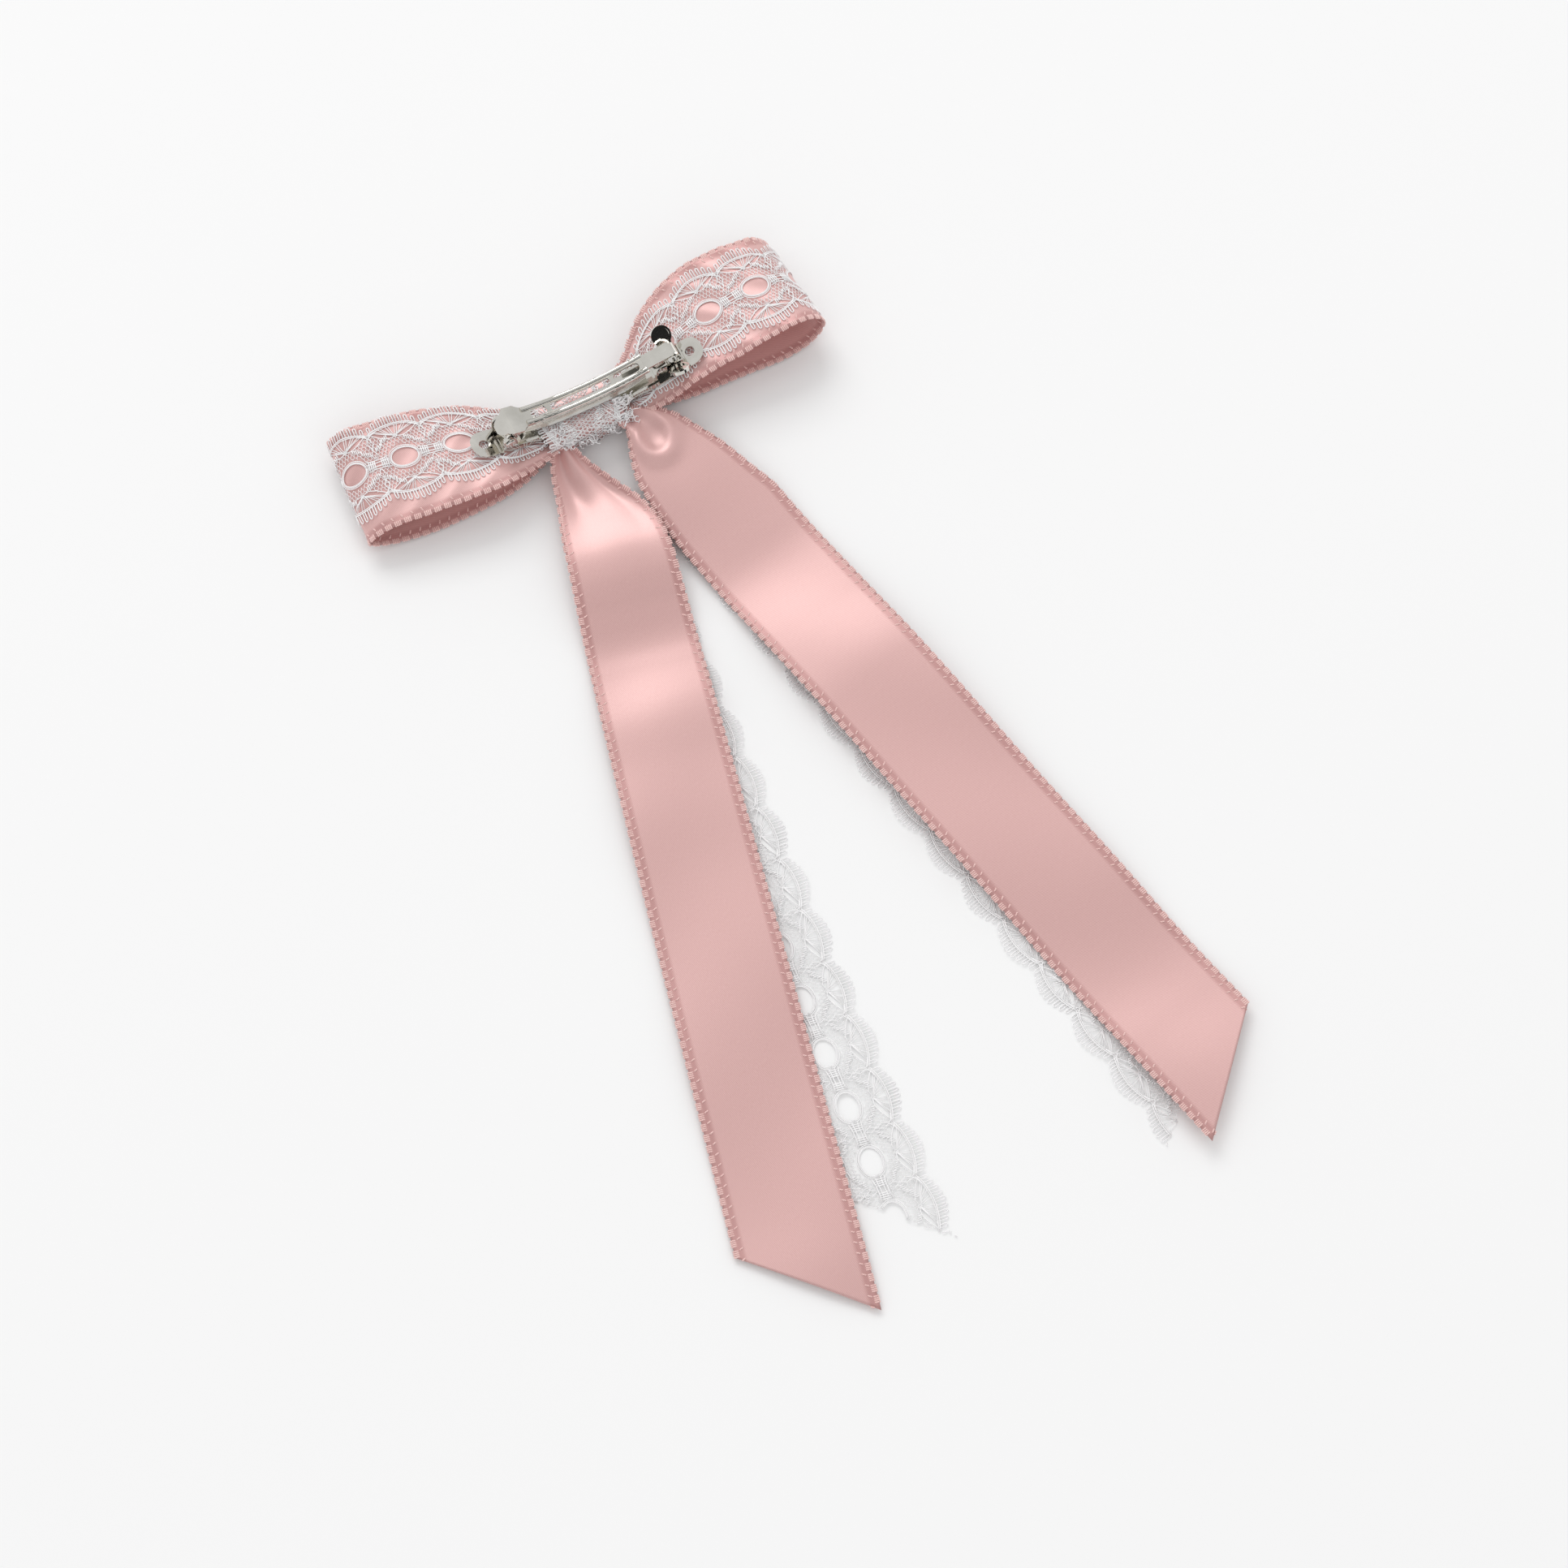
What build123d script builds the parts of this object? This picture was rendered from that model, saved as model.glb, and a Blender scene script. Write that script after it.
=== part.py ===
from build123d import *
import os
from math import cos, radians, sin, sqrt

# Bow hair clip: a French spring barrette behind a satin and lace ribbon bow with two long tails.
# Millimetres.  X runs along the barrette from hinge to latch, +Y points away from the tails,
# +Z is the side that faces the head.  The bow lies on its front, and the floor is z = 0.

# ---------------------------------------------------------------- barrette base
BASE_LENGTH = 60.0            # over both rounded tabs
BASE_WIDTH = 7.0
BASE_THICK = 0.55
BASE_LOW = 6.8                # underside of the strip at x = 0
BASE_RADIUS = 90.0            # bend of the underside, centre above the strip
TAB_HOLE_RADIUS = 1.15
TAB_HOLE_INSET = 3.0          # hole centre from the end of the tab
RAIL_THICK = 0.6              # side rails and hinge ears are folded up from the edges
RAIL_HEIGHT = 1.3
RAIL_GAP = 0.4                # rails stop this far from the knot

# ---------------------------------------------------------------- hinge
PIVOT_X = -21.6
PIVOT_ABOVE_BASE = 3.35
EAR_RADIUS = 1.8
PIN_RADIUS = 0.6
PIN_PLAY = 0.06               # radial running clearance in the clasp arm
PIN_HEAD_RADIUS = 1.35
PIN_HEAD_LENGTH = 0.55
SIDE_PLAY = 0.15              # between ears and arm flanges, and between strip and flanges

# ---------------------------------------------------------------- clasp arm
ARM_LOW = 13.65               # underside of the arm at x = 0
ARM_RADIUS = 64.0
ARM_THICK = 0.5
ARM_WIDTH = 5.2
ARM_RAIL_WIDTH = 1.45
ARM_RAIL_CROWN = 0.45         # how far the rounded rails stand above the sheet
HINGE_PLATE_WIDTH = 7.4
HINGE_PLATE_START = -20.2     # the crease
HINGE_PLATE_END = -16.4
FLANGE_THICK = 0.5
FLAP_LENGTH = 3.6
FLAP_DROP_ANGLE = 29.0
FLAP_TIP_WIDTH = 3.9
WINDOW_START = -15.0
WINDOW_END = 13.8
CROSSBARS = (-9.9, 6.7)
CROSSBAR_WIDTH = 1.1
ROOF_START = 15.4
ROOF_LENGTH = 6.9
ROOF_WIDTH = 3.8
ROOF_RISE_ANGLE = 9.0
TONGUE_RADIUS = 1.3
TONGUE_DROP = 1.9
TONGUE_WIDTH = 3.0

# ---------------------------------------------------------------- tension strip
STRIP_LOW = 8.9
STRIP_RADIUS = 89.0
STRIP_THICK = 0.32
STRIP_WIDTH = 3.6
STRIP_START = -17.2
STRIP_END = 15.0
STRIP_RIB_WIDTH = 1.2
STRIP_RIB_HEIGHT = 0.2
STRIP_FOOT_LENGTH = 0.5         # bent down at the hinge end
STRIP_FOOT_GAP = 0.1

# ---------------------------------------------------------------- latch
LATCH_START = 17.2
LATCH_END = 25.0
LATCH_WALL_THICK = 0.4
LATCH_WALL_Y = 2.4            # outer face of each side wall
LATCH_FLOOR_THICK = 0.45
LATCH_WALL_HEIGHT = 4.0
LATCH_WINDOW_HEIGHT = 1.5
LATCH_END_WALL_HEIGHT = 1.2
LATCH_CORNER = 1.0            # cut off the top corners of the side walls
CATCH_PIN_ABOVE_MIDDLE = 1.2
CATCH_PIN_X = 20.6
CATCH_PIN_RADIUS = 0.35
RIVET_X = 22.4
RIVET_RADIUS = 0.7
RIVET_HEAD_RADIUS = 1.2
RIVET_HEAD_HEIGHT = 0.4
LUG_X = 22.0
LUG_SWING_GAP = 0.66          # between each lug and its wall, for the squeeze
LUG_THICK = 0.45
LUG_FOOT_WIDTH = 3.6
LUG_STEM_HEIGHT = 2.6
LUG_FLARE_ANGLE = 52.0        # the finger pads lean this far outwards
PAD_RADIUS = 2.5
PAD_RIM = 0.35

# ---------------------------------------------------------------- knot
KNOT_CENTRE_X = -2.0
SATIN_BAND_LENGTH = 22.0
LACE_BAND_LENGTH = 24.0
KNOT_LOW_Y = -9.5
KNOT_PAST_PLATE = 1.8
KNOT_HIGH_Y = BASE_WIDTH / 2 + KNOT_PAST_PLATE
BAND_CORNER = 1.9
LACE_THICK = 0.3
SATIN_THICK = 0.4
CLOTH_GAP = 0.06              # between layers of cloth, and between cloth and metal
THREAD_THICK = 0.35
THREAD_TURNS = 3
THREAD_PITCH = 0.45
THREAD_LOW = 1.15
THREAD_HIGH = 5.75

# ---------------------------------------------------------------- ribbons
SATIN_WIDTH = 28.6
LACE_WIDTH = 24.0
LOOP_REACH = 60.0             # loop end from the barrette centre
LOOP_ROOT_X = 0.4
LOOP_SIDES = {
    "left": {"side": -1, "height": 9.6, "centre_y": 5.0},
    "right": {"side": 1, "height": 13.2, "centre_y": 6.2},
}
LOOP_ROOT_LOW_Y = -5.4
LOOP_ROOT_HIGH_Y = 3.4
LOOP_NECK_X = 14.0            # where the loops leave the knot
LOOP_NECK_LOW_Y = -6.3
LOOP_NECK_HIGH_Y = 4.4
LOOP_FULL_X = 46.0            # where the ribbon has its full width
LACE_INSET = 2.2              # lace edge inside the satin edge on the loops

TAILS = {
    "left": {"side": -1, "satin_angle": 12.9, "satin_axis_x": -2.4, "lace_angle": 5.2,
             "lace_axis_x": -7.9, "lace_short": 196.0, "lace_long": 217.6,
             "neck": (-15.5, -8.2), "inner_bulge": (-1.2, -20.5)},
    "right": {"side": 1, "satin_angle": 11.9, "satin_axis_x": 11.2, "lace_angle": 9.3,
              "lace_axis_x": 10.4, "lace_short": 207.0, "lace_long": 220.9,
              "neck": (11.6, -8.2), "inner_bulge": (5.4, -20.0)},
}
TAIL_SHORT_EDGE = 206.5       # satin, outer edge, measured from y = 0 along the tail
TAIL_LONG_EDGE = 226.0        # satin, inner edge
TAIL_FULL_AT = 36.0           # full width from here on
TAIL_ROOT_Z = 6.0
TAIL_NECK_WIDTH = 2.4
TAIL_SHOULDER = 1.2           # how far the outer edge bulges between neck and full width
TAIL_REST_Z = 1.05            # middle of the satin where it lies on the lace
TAIL_WAVE = 0.9               # crest height of the satin's gentle waves
LACE_LANDS_AT = 50.0          # from here on the lace lies on the floor
TAIL_CRESTS = (78.0, 142.0, 205.0)
TAIL_TROUGHS = (55.0, 110.0, 176.0)

PROFILE_STEPS = 28


# ================================================================ shared shapes
def arc_height(x, low, radius):
    """Height of a strip that is bent upwards, lowest at x = 0."""
    return low + radius - sqrt(radius ** 2 - x ** 2)


def base_top(x):
    return arc_height(x, BASE_LOW + BASE_THICK, BASE_RADIUS - BASE_THICK)


def arm_under(x):
    return arc_height(x, ARM_LOW, ARM_RADIUS)


def strip_under(x):
    return arc_height(x, STRIP_LOW, STRIP_RADIUS)


PIVOT_Z = base_top(PIVOT_X) + PIVOT_ABOVE_BASE
KNOT_TOP = BASE_LOW + BASE_THICK + CLOTH_GAP + SATIN_THICK + CLOTH_GAP + LACE_THICK


def bent_strip(low, radius, thick, x_start, x_end, y_start, y_end):
    """Sheet bent about an axis along Y; its underside is lowest, at height low, at x = 0."""
    x_middle = (x_start + x_end) / 2
    under = [(x, 0, arc_height(x, low, radius)) for x in (x_start, x_middle, x_end)]
    top = [(x, 0, arc_height(x, low + thick, radius - thick)) for x in (x_end, x_middle, x_start)]
    outline = [ThreePointArc(*under), Line(under[-1], top[0]),
               ThreePointArc(*top), Line(top[-1], under[0])]
    return between_y(outline, y_start, y_end)


def between_y(outline, y_start, y_end):
    """Solid from a closed outline in the XZ plane, from y_start to y_end."""
    solid = extrude(make_face(outline), amount=(y_end - y_start) / 2, both=True)
    return Pos(0, (y_start + y_end) / 2, 0) * solid


def side_polygon(points, y_start, y_end):
    """Flat plate standing in XZ, from corner points (x, z)."""
    corners = [(x, 0, z) for x, z in points]
    return between_y([Polyline(*corners, close=True)], y_start, y_end)


def column(sketch, low=-5.0, high=40.0):
    """Upright prism of a plan outline, for trimming sheets."""
    return Pos(0, 0, low) * extrude(sketch, amount=high - low)


def cross_rod(x, z, radius, y_start, y_end):
    """Round bar along Y."""
    return Pos(x, (y_start + y_end) / 2, z) * Rot(90, 0, 0) * Cylinder(radius, y_end - y_start)


def both_sides(y_inner, y_outer):
    """The two mirrored ranges of y, rear side first."""
    return [(y_inner, y_outer), (-y_outer, -y_inner)]


def save(solid, name):
    solid.label = name
    export_step(solid, f"parts/{name}.step")


# ================================================================ barrette
def base_plate():
    half = BASE_WIDTH / 2
    end = BASE_LENGTH / 2
    sheet = bent_strip(BASE_LOW, BASE_RADIUS, BASE_THICK, -end, end, -half, half)
    outline = RectangleRounded(BASE_LENGTH, BASE_WIDTH, half - 0.4)
    plate = sheet & column(outline)
    rail_y = both_sides(half - RAIL_THICK, half)
    knot_left = KNOT_CENTRE_X - LACE_BAND_LENGTH / 2
    knot_right = KNOT_CENTRE_X + LACE_BAND_LENGTH / 2
    rail_ranges = [(PIVOT_X + EAR_RADIUS, knot_left - RAIL_GAP), (knot_right + RAIL_GAP, LATCH_START)]
    for y_start, y_end in rail_y:
        for x_start, x_end in rail_ranges:
            plate += bent_strip(BASE_LOW + BASE_THICK / 2, BASE_RADIUS, BASE_THICK / 2 + RAIL_HEIGHT,
                                x_start, x_end, y_start, y_end)
        foot = base_top(PIVOT_X - EAR_RADIUS) - BASE_THICK
        plate += side_polygon([(PIVOT_X - EAR_RADIUS, foot), (PIVOT_X + EAR_RADIUS, foot - 0.6),
                               (PIVOT_X + EAR_RADIUS, PIVOT_Z), (PIVOT_X - EAR_RADIUS, PIVOT_Z)],
                              y_start, y_end)
        plate += cross_rod(PIVOT_X, PIVOT_Z, EAR_RADIUS, y_start, y_end)
    plate -= cross_rod(PIVOT_X, PIVOT_Z, PIN_RADIUS, -BASE_WIDTH, BASE_WIDTH)
    for side in (-1, 1):
        hole_x = side * (end - TAB_HOLE_INSET)
        plate -= column(Pos(hole_x, 0) * Circle(TAB_HOLE_RADIUS))
    return plate - column(Pos(RIVET_X, 0) * Circle(RIVET_RADIUS))


def hinge_pin():
    half = BASE_WIDTH / 2
    pin = cross_rod(PIVOT_X, PIVOT_Z, PIN_RADIUS, -half, half)
    for y_start, y_end in both_sides(half, half + PIN_HEAD_LENGTH):
        head = cross_rod(PIVOT_X, PIVOT_Z, PIN_HEAD_RADIUS, y_start, y_end)
        outer = y_end if y_start > 0 else y_start
        rim = head.edges().filter_by(GeomType.CIRCLE).filter_by_position(Axis.Y, outer - 0.01, outer + 0.01)
        pin += fillet(rim, PIN_HEAD_LENGTH * 0.8)
    return pin


def tension_strip():
    half = STRIP_WIDTH / 2
    middle = (STRIP_START + STRIP_END) / 2
    length = STRIP_END - STRIP_START
    sheet = bent_strip(STRIP_LOW, STRIP_RADIUS, STRIP_THICK, STRIP_START, STRIP_END, -half, half)
    taper = length / 5
    outline = make_face(Polyline((STRIP_START, half * 0.5), (STRIP_START + taper, half),
                                 (STRIP_END - taper, half), (STRIP_END, half * 0.5),
                                 (STRIP_END, -half * 0.5), (STRIP_END - taper, -half),
                                 (STRIP_START + taper, -half), (STRIP_START, -half * 0.5),
                                 close=True))
    rib = bent_strip(STRIP_LOW + STRIP_THICK / 2, STRIP_RADIUS, STRIP_THICK / 2 + STRIP_RIB_HEIGHT,
                     middle - length / 3, middle + length / 3,
                     -STRIP_RIB_WIDTH / 2, STRIP_RIB_WIDTH / 2)
    foot = side_polygon([(STRIP_START, base_top(STRIP_START) + STRIP_FOOT_GAP),
                         (STRIP_START + STRIP_FOOT_LENGTH, base_top(STRIP_START) + STRIP_FOOT_GAP),
                         (STRIP_START + STRIP_FOOT_LENGTH, strip_under(STRIP_START) + 0.1),
                         (STRIP_START, strip_under(STRIP_START) + 0.1)], -half * 0.5, half * 0.5)
    return (sheet & column(outline)) + rib + foot


def arm_rails():
    """Two rounded rails that follow the bend of the arm."""
    rails = []
    half = ARM_WIDTH / 2
    for y_start, y_end in both_sides(half - ARM_RAIL_WIDTH, half):
        rail = bent_strip(ARM_LOW, ARM_RADIUS, ARM_THICK + ARM_RAIL_CROWN,
                          WINDOW_START - 1.2, WINDOW_END + 1.2, y_start, y_end)
        long_edges = rail.edges().filter_by(GeomType.CIRCLE).sort_by(Axis.Z)[-2:]
        rails.append(fillet(long_edges, ARM_RAIL_WIDTH * 0.42))
    return rails


def arm_windows():
    """Long slot of the arm, left open between the crossbars, with a round latch end."""
    width = ARM_WIDTH - 2 * ARM_RAIL_WIDTH
    length = WINDOW_END - WINDOW_START
    slot = Pos((WINDOW_START + WINDOW_END) / 2, 0) * Rectangle(length - width, width)
    slot += Pos(WINDOW_END - width / 2, 0) * Circle(width / 2)
    slot += Pos(WINDOW_START + width / 2, 0) * Rectangle(width, width * 0.6)
    for x in CROSSBARS:
        bar = Pos(x, 0) * Rectangle(CROSSBAR_WIDTH + 1.6, width + 0.4)
        for side in (-1, 1):
            bar -= Pos(x + side * (CROSSBAR_WIDTH / 2 + width * 0.75), 0) * Circle(width * 0.75)
        slot -= bar
    return column(slot)


def arm_hinge_end():
    """Wide plate, tapered end flap and the two flanges that hang on the pin."""
    sheet = bent_strip(ARM_LOW, ARM_RADIUS, ARM_THICK, HINGE_PLATE_START, HINGE_PLATE_END + 2.0,
                       -HINGE_PLATE_WIDTH / 2, HINGE_PLATE_WIDTH / 2)
    wide, narrow = HINGE_PLATE_WIDTH / 2, ARM_WIDTH / 2
    corner = HINGE_PLATE_START + 2.4
    outline = make_face(Polyline((HINGE_PLATE_START - 0.1, wide), (corner, wide),
                                 (HINGE_PLATE_END, narrow), (HINGE_PLATE_END + 2.0, narrow),
                                 (HINGE_PLATE_END + 2.0, -narrow), (HINGE_PLATE_END, -narrow),
                                 (corner, -wide), (HINGE_PLATE_START - 0.1, -wide), close=True))
    plate = sheet & column(outline)
    tip = FLAP_TIP_WIDTH / 2
    shape = make_face(Polyline((0.35, wide), (0, wide), (-1.1, 2.7), (-FLAP_LENGTH + 0.9, tip + 0.1),
                               (-FLAP_LENGTH, tip * 0.55), (-FLAP_LENGTH, -tip * 0.55),
                               (-FLAP_LENGTH + 0.9, -tip - 0.1), (-1.1, -2.7), (0, -wide), (0.35, -wide),
                               close=True))
    flap = extrude(shape, amount=ARM_THICK)
    plate += Pos(HINGE_PLATE_START, 0, arm_under(HINGE_PLATE_START)) * Rot(0, -FLAP_DROP_ANGLE, 0) * flap
    y_inner = BASE_WIDTH / 2 - RAIL_THICK - SIDE_PLAY - FLANGE_THICK
    top = arm_under(HINGE_PLATE_START) + 0.1
    boss = PIN_RADIUS + 0.85
    for y_start, y_end in both_sides(y_inner, y_inner + FLANGE_THICK):
        side_plate = side_polygon([(PIVOT_X - boss, PIVOT_Z), (PIVOT_X, PIVOT_Z - boss),
                                   (PIVOT_X + boss, PIVOT_Z - boss * 0.5),
                                   (HINGE_PLATE_END - 0.2, arm_under(HINGE_PLATE_END) + 0.2),
                                   (HINGE_PLATE_START, top), (PIVOT_X - 0.4, PIVOT_Z + boss)],
                                  y_start, y_end)
        plate += side_plate + cross_rod(PIVOT_X, PIVOT_Z, boss, y_start, y_end)
    return plate - cross_rod(PIVOT_X, PIVOT_Z, PIN_RADIUS + PIN_PLAY, -BASE_WIDTH, BASE_WIDTH)


def arm_latch_end():
    """Narrow roof over the latch and the tongue that curls down into it."""
    start_z = arm_under(ROOF_START)
    rise = radians(ROOF_RISE_ANGLE)
    end_x = ROOF_START + ROOF_LENGTH * cos(rise)
    end_z = start_z + ROOF_LENGTH * sin(rise)
    half = ROOF_WIDTH / 2
    roof = side_polygon([(ROOF_START - 0.6, start_z - 0.08), (end_x, end_z),
                         (end_x, end_z + ARM_THICK), (ROOF_START - 0.6, start_z + ARM_THICK)], -half, half)
    inner = TONGUE_RADIUS - ARM_THICK
    bend_z = end_z - inner
    outline = [Line((end_x - 0.3, 0, end_z), (end_x, 0, end_z)),
               ThreePointArc((end_x, 0, end_z), (end_x + inner * 0.707, 0, bend_z + inner * 0.707),
                             (end_x + inner, 0, bend_z)),
               Line((end_x + inner, 0, bend_z), (end_x + inner, 0, bend_z - TONGUE_DROP)),
               Line((end_x + inner, 0, bend_z - TONGUE_DROP),
                    (end_x + TONGUE_RADIUS, 0, bend_z - TONGUE_DROP)),
               Line((end_x + TONGUE_RADIUS, 0, bend_z - TONGUE_DROP), (end_x + TONGUE_RADIUS, 0, bend_z)),
               ThreePointArc((end_x + TONGUE_RADIUS, 0, bend_z),
                             (end_x + TONGUE_RADIUS * 0.707, 0, bend_z + TONGUE_RADIUS * 0.707),
                             (end_x, 0, end_z + ARM_THICK)),
               Line((end_x, 0, end_z + ARM_THICK), (end_x - 0.3, 0, end_z + ARM_THICK)),
               Line((end_x - 0.3, 0, end_z + ARM_THICK), (end_x - 0.3, 0, end_z))]
    tongue = between_y(outline, -TONGUE_WIDTH / 2, TONGUE_WIDTH / 2)
    return roof + tongue


def clasp_arm():
    half = ARM_WIDTH / 2
    arm = bent_strip(ARM_LOW, ARM_RADIUS, ARM_THICK, HINGE_PLATE_END, ROOF_START, -half, half)
    for rail in arm_rails():
        arm += rail
    arm -= arm_windows()
    arm += arm_latch_end()
    return arm + arm_hinge_end()


def latch_wall_top():
    return base_top((LATCH_START + LATCH_END) / 2) + LATCH_WALL_HEIGHT


def catch_pin_height():
    return (base_top(LATCH_START) + latch_wall_top()) / 2 + CATCH_PIN_ABOVE_MIDDLE


def latch_bracket():
    """Open box on the base: floor, two windowed side walls and a low end wall."""
    floor_low = BASE_LOW + BASE_THICK
    floor_radius = BASE_RADIUS - BASE_THICK
    box = bent_strip(floor_low, floor_radius, LATCH_FLOOR_THICK, LATCH_START, LATCH_END,
                     -LATCH_WALL_Y, LATCH_WALL_Y)
    top = latch_wall_top()
    corner = LATCH_CORNER
    for y_start, y_end in both_sides(LATCH_WALL_Y - LATCH_WALL_THICK, LATCH_WALL_Y):
        box += side_polygon([(LATCH_START, base_top(LATCH_START) + 0.2),
                             (LATCH_END, base_top(LATCH_END) + 0.2), (LATCH_END, top - corner),
                             (LATCH_END - corner, top), (LATCH_START + corner, top),
                             (LATCH_START, top - corner)], y_start, y_end)
    sill = base_top(LATCH_END) + LATCH_END_WALL_HEIGHT
    box += side_polygon([(LATCH_END - LATCH_WALL_THICK, base_top(LATCH_END) + 0.2),
                         (LATCH_END, base_top(LATCH_END) + 0.2), (LATCH_END, sill),
                         (LATCH_END - LATCH_WALL_THICK, sill)], -LATCH_WALL_Y, LATCH_WALL_Y)
    for window_x in ((LATCH_START + CATCH_PIN_X) / 2 - 0.1, CATCH_PIN_X + 2.2):
        window = Box(2.2, 4 * LATCH_WALL_Y, LATCH_WINDOW_HEIGHT)
        box -= Pos(window_x, 0, catch_pin_height() - 0.6) * window
    box -= cross_rod(CATCH_PIN_X, catch_pin_height(), CATCH_PIN_RADIUS, -LATCH_WALL_Y * 2, LATCH_WALL_Y * 2)
    return box - column(Pos(RIVET_X, 0) * Circle(RIVET_RADIUS))


def latch_catch_pin():
    return cross_rod(CATCH_PIN_X, catch_pin_height(), CATCH_PIN_RADIUS, -LATCH_WALL_Y, LATCH_WALL_Y)


def latch_rivet():
    head_z = arc_height(RIVET_X, BASE_LOW + BASE_THICK + LATCH_FLOOR_THICK,
                        BASE_RADIUS - BASE_THICK - LATCH_FLOOR_THICK)
    foot_z = arc_height(RIVET_X, BASE_LOW, BASE_RADIUS)
    shank = Pos(RIVET_X, 0, (head_z + foot_z) / 2) * Cylinder(RIVET_RADIUS, head_z - foot_z)
    seat = head_z + 0.35
    head = Pos(RIVET_X, 0, seat + RIVET_HEAD_HEIGHT / 2) * Cylinder(RIVET_HEAD_RADIUS, RIVET_HEAD_HEIGHT)
    neck = Pos(RIVET_X, 0, (seat + head_z) / 2) * Cylinder(RIVET_RADIUS, seat - head_z)
    rim = head.edges().filter_by(GeomType.CIRCLE).sort_by(Axis.Z)[-1:]
    return shank + neck + fillet(rim, RIVET_HEAD_HEIGHT * 0.7)


LUG_FOOT_Z = base_top(LUG_X + LUG_FOOT_WIDTH / 2) + 0.12


def latch_lug(side):
    """Sprung finger lug: upright stem, and a dished round pad that leans outwards."""
    y_inner = LATCH_WALL_Y + LUG_SWING_GAP
    half = LUG_FOOT_WIDTH / 2
    stem_top = LUG_FOOT_Z + LUG_STEM_HEIGHT
    stem = Pos(LUG_X, y_inner + LUG_THICK / 2, LUG_FOOT_Z + LUG_STEM_HEIGHT / 2) \
        * Box(2 * half, LUG_THICK, LUG_STEM_HEIGHT)
    disc = Pos(0, PAD_RADIUS * 1.1, LUG_THICK / 2) * Cylinder(PAD_RADIUS, LUG_THICK)
    ring = Pos(0, PAD_RADIUS * 1.1, LUG_THICK + PAD_RIM / 2) * (
        Cylinder(PAD_RADIUS, PAD_RIM) - Cylinder(PAD_RADIUS - 0.5, PAD_RIM))
    shelf = Pos(0, PAD_RADIUS * 0.4, LUG_THICK / 2) * Box(2 * half, PAD_RADIUS * 0.8, LUG_THICK)
    pad = disc + ring + shelf
    hinge = Pos(LUG_X, y_inner, stem_top - 0.1) * Rot(90 - LUG_FLARE_ANGLE, 0, 0)
    knuckle = Pos(LUG_X, y_inner + LUG_THICK / 2, stem_top) * Rot(0, 90, 0) \
        * Cylinder(LUG_THICK / 2, 2 * half)
    lug = stem + hinge * pad + knuckle
    return lug if side > 0 else mirror(lug, Plane.XZ)


# ================================================================ knot
def wrap_core(y_low, y_high, z_low, z_high, corner, x_start, x_end):
    """Block with rounded long edges whose top follows the bend of the base."""
    section = Plane.YZ * Pos((y_low + y_high) / 2, z_low + z_high) * RectangleRounded(
        y_high - y_low, 2 * z_high, corner)
    block = Pos(x_start, 0, 0) * extrude(section, amount=x_end - x_start)
    radius = BASE_RADIUS - (z_high - BASE_LOW)
    middle = (x_start + x_end) / 2
    top = [(x, 0, arc_height(x, z_high, radius)) for x in (x_start, middle, x_end)]
    below = z_low - 1
    outline = [ThreePointArc(*top), Line(top[2], (x_end, 0, below)),
               Line((x_end, 0, below), (x_start, 0, below)), Line((x_start, 0, below), top[0])]
    core = block & between_y(outline, y_low - 1, y_high + 1)
    rims = core.edges().filter_by(GeomType.CIRCLE).filter_by(lambda edge: edge.length > corner * 3)
    return fillet(rims, corner)


def wrap_band(inset, thick, x_start, x_end):
    """Closed band around the knot, a given distance inside the knot's outer shape."""
    outer = wrap_core(KNOT_LOW_Y + inset, KNOT_HIGH_Y - inset, inset, KNOT_TOP - inset,
                      BAND_CORNER - inset, x_start, x_end)
    inset += thick
    inner = wrap_core(KNOT_LOW_Y + inset, KNOT_HIGH_Y - inset, inset, KNOT_TOP - inset,
                      BAND_CORNER - inset, x_start - 1, x_end + 1)
    return outer - inner


def knot_lace_band():
    half = LACE_BAND_LENGTH / 2
    return wrap_band(0.0, LACE_THICK, KNOT_CENTRE_X - half, KNOT_CENTRE_X + half)


def knot_satin_band():
    half = SATIN_BAND_LENGTH / 2
    return wrap_band(LACE_THICK + CLOTH_GAP, SATIN_THICK, KNOT_CENTRE_X - half, KNOT_CENTRE_X + half)


def gather_thread():
    """Turns of thread that cinch the middle of the loops."""
    place = Plane.YZ * Pos((LOOP_ROOT_LOW_Y + LOOP_ROOT_HIGH_Y) / 2, (THREAD_LOW + THREAD_HIGH) / 2)
    outer_width = LOOP_ROOT_HIGH_Y - LOOP_ROOT_LOW_Y + 2 * (THREAD_THICK + CLOTH_GAP)
    outer_height = THREAD_HIGH - THREAD_LOW
    outer = place * RectangleRounded(outer_width, outer_height, 3 * THREAD_THICK)
    inner = place * RectangleRounded(outer_width - 2 * THREAD_THICK, outer_height - 2 * THREAD_THICK,
                                     2 * THREAD_THICK)
    turns = []
    for turn in range(THREAD_TURNS):
        x = (turn - THREAD_TURNS / 2) * THREAD_PITCH
        turns.append(Pos(x, 0, 0) * extrude(outer - inner, amount=THREAD_THICK))
    return Compound(turns)


# ================================================================ ribbons
def ribbon_face(path, inner, outer):
    """Thin closed face beside a path in XZ, between two distances from it."""
    sides = []
    for distance in (inner, outer):
        points = []
        for step in range(PROFILE_STEPS + 1):
            share = step / PROFILE_STEPS
            across = (path % share).cross(Vector(0, 1, 0))
            points.append(path @ share + across * distance)
        sides.append(Spline(points))
    caps = [Line(sides[0] @ end, sides[1] @ end) for end in (0, 1)]
    return make_face([*sides, *caps])


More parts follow.
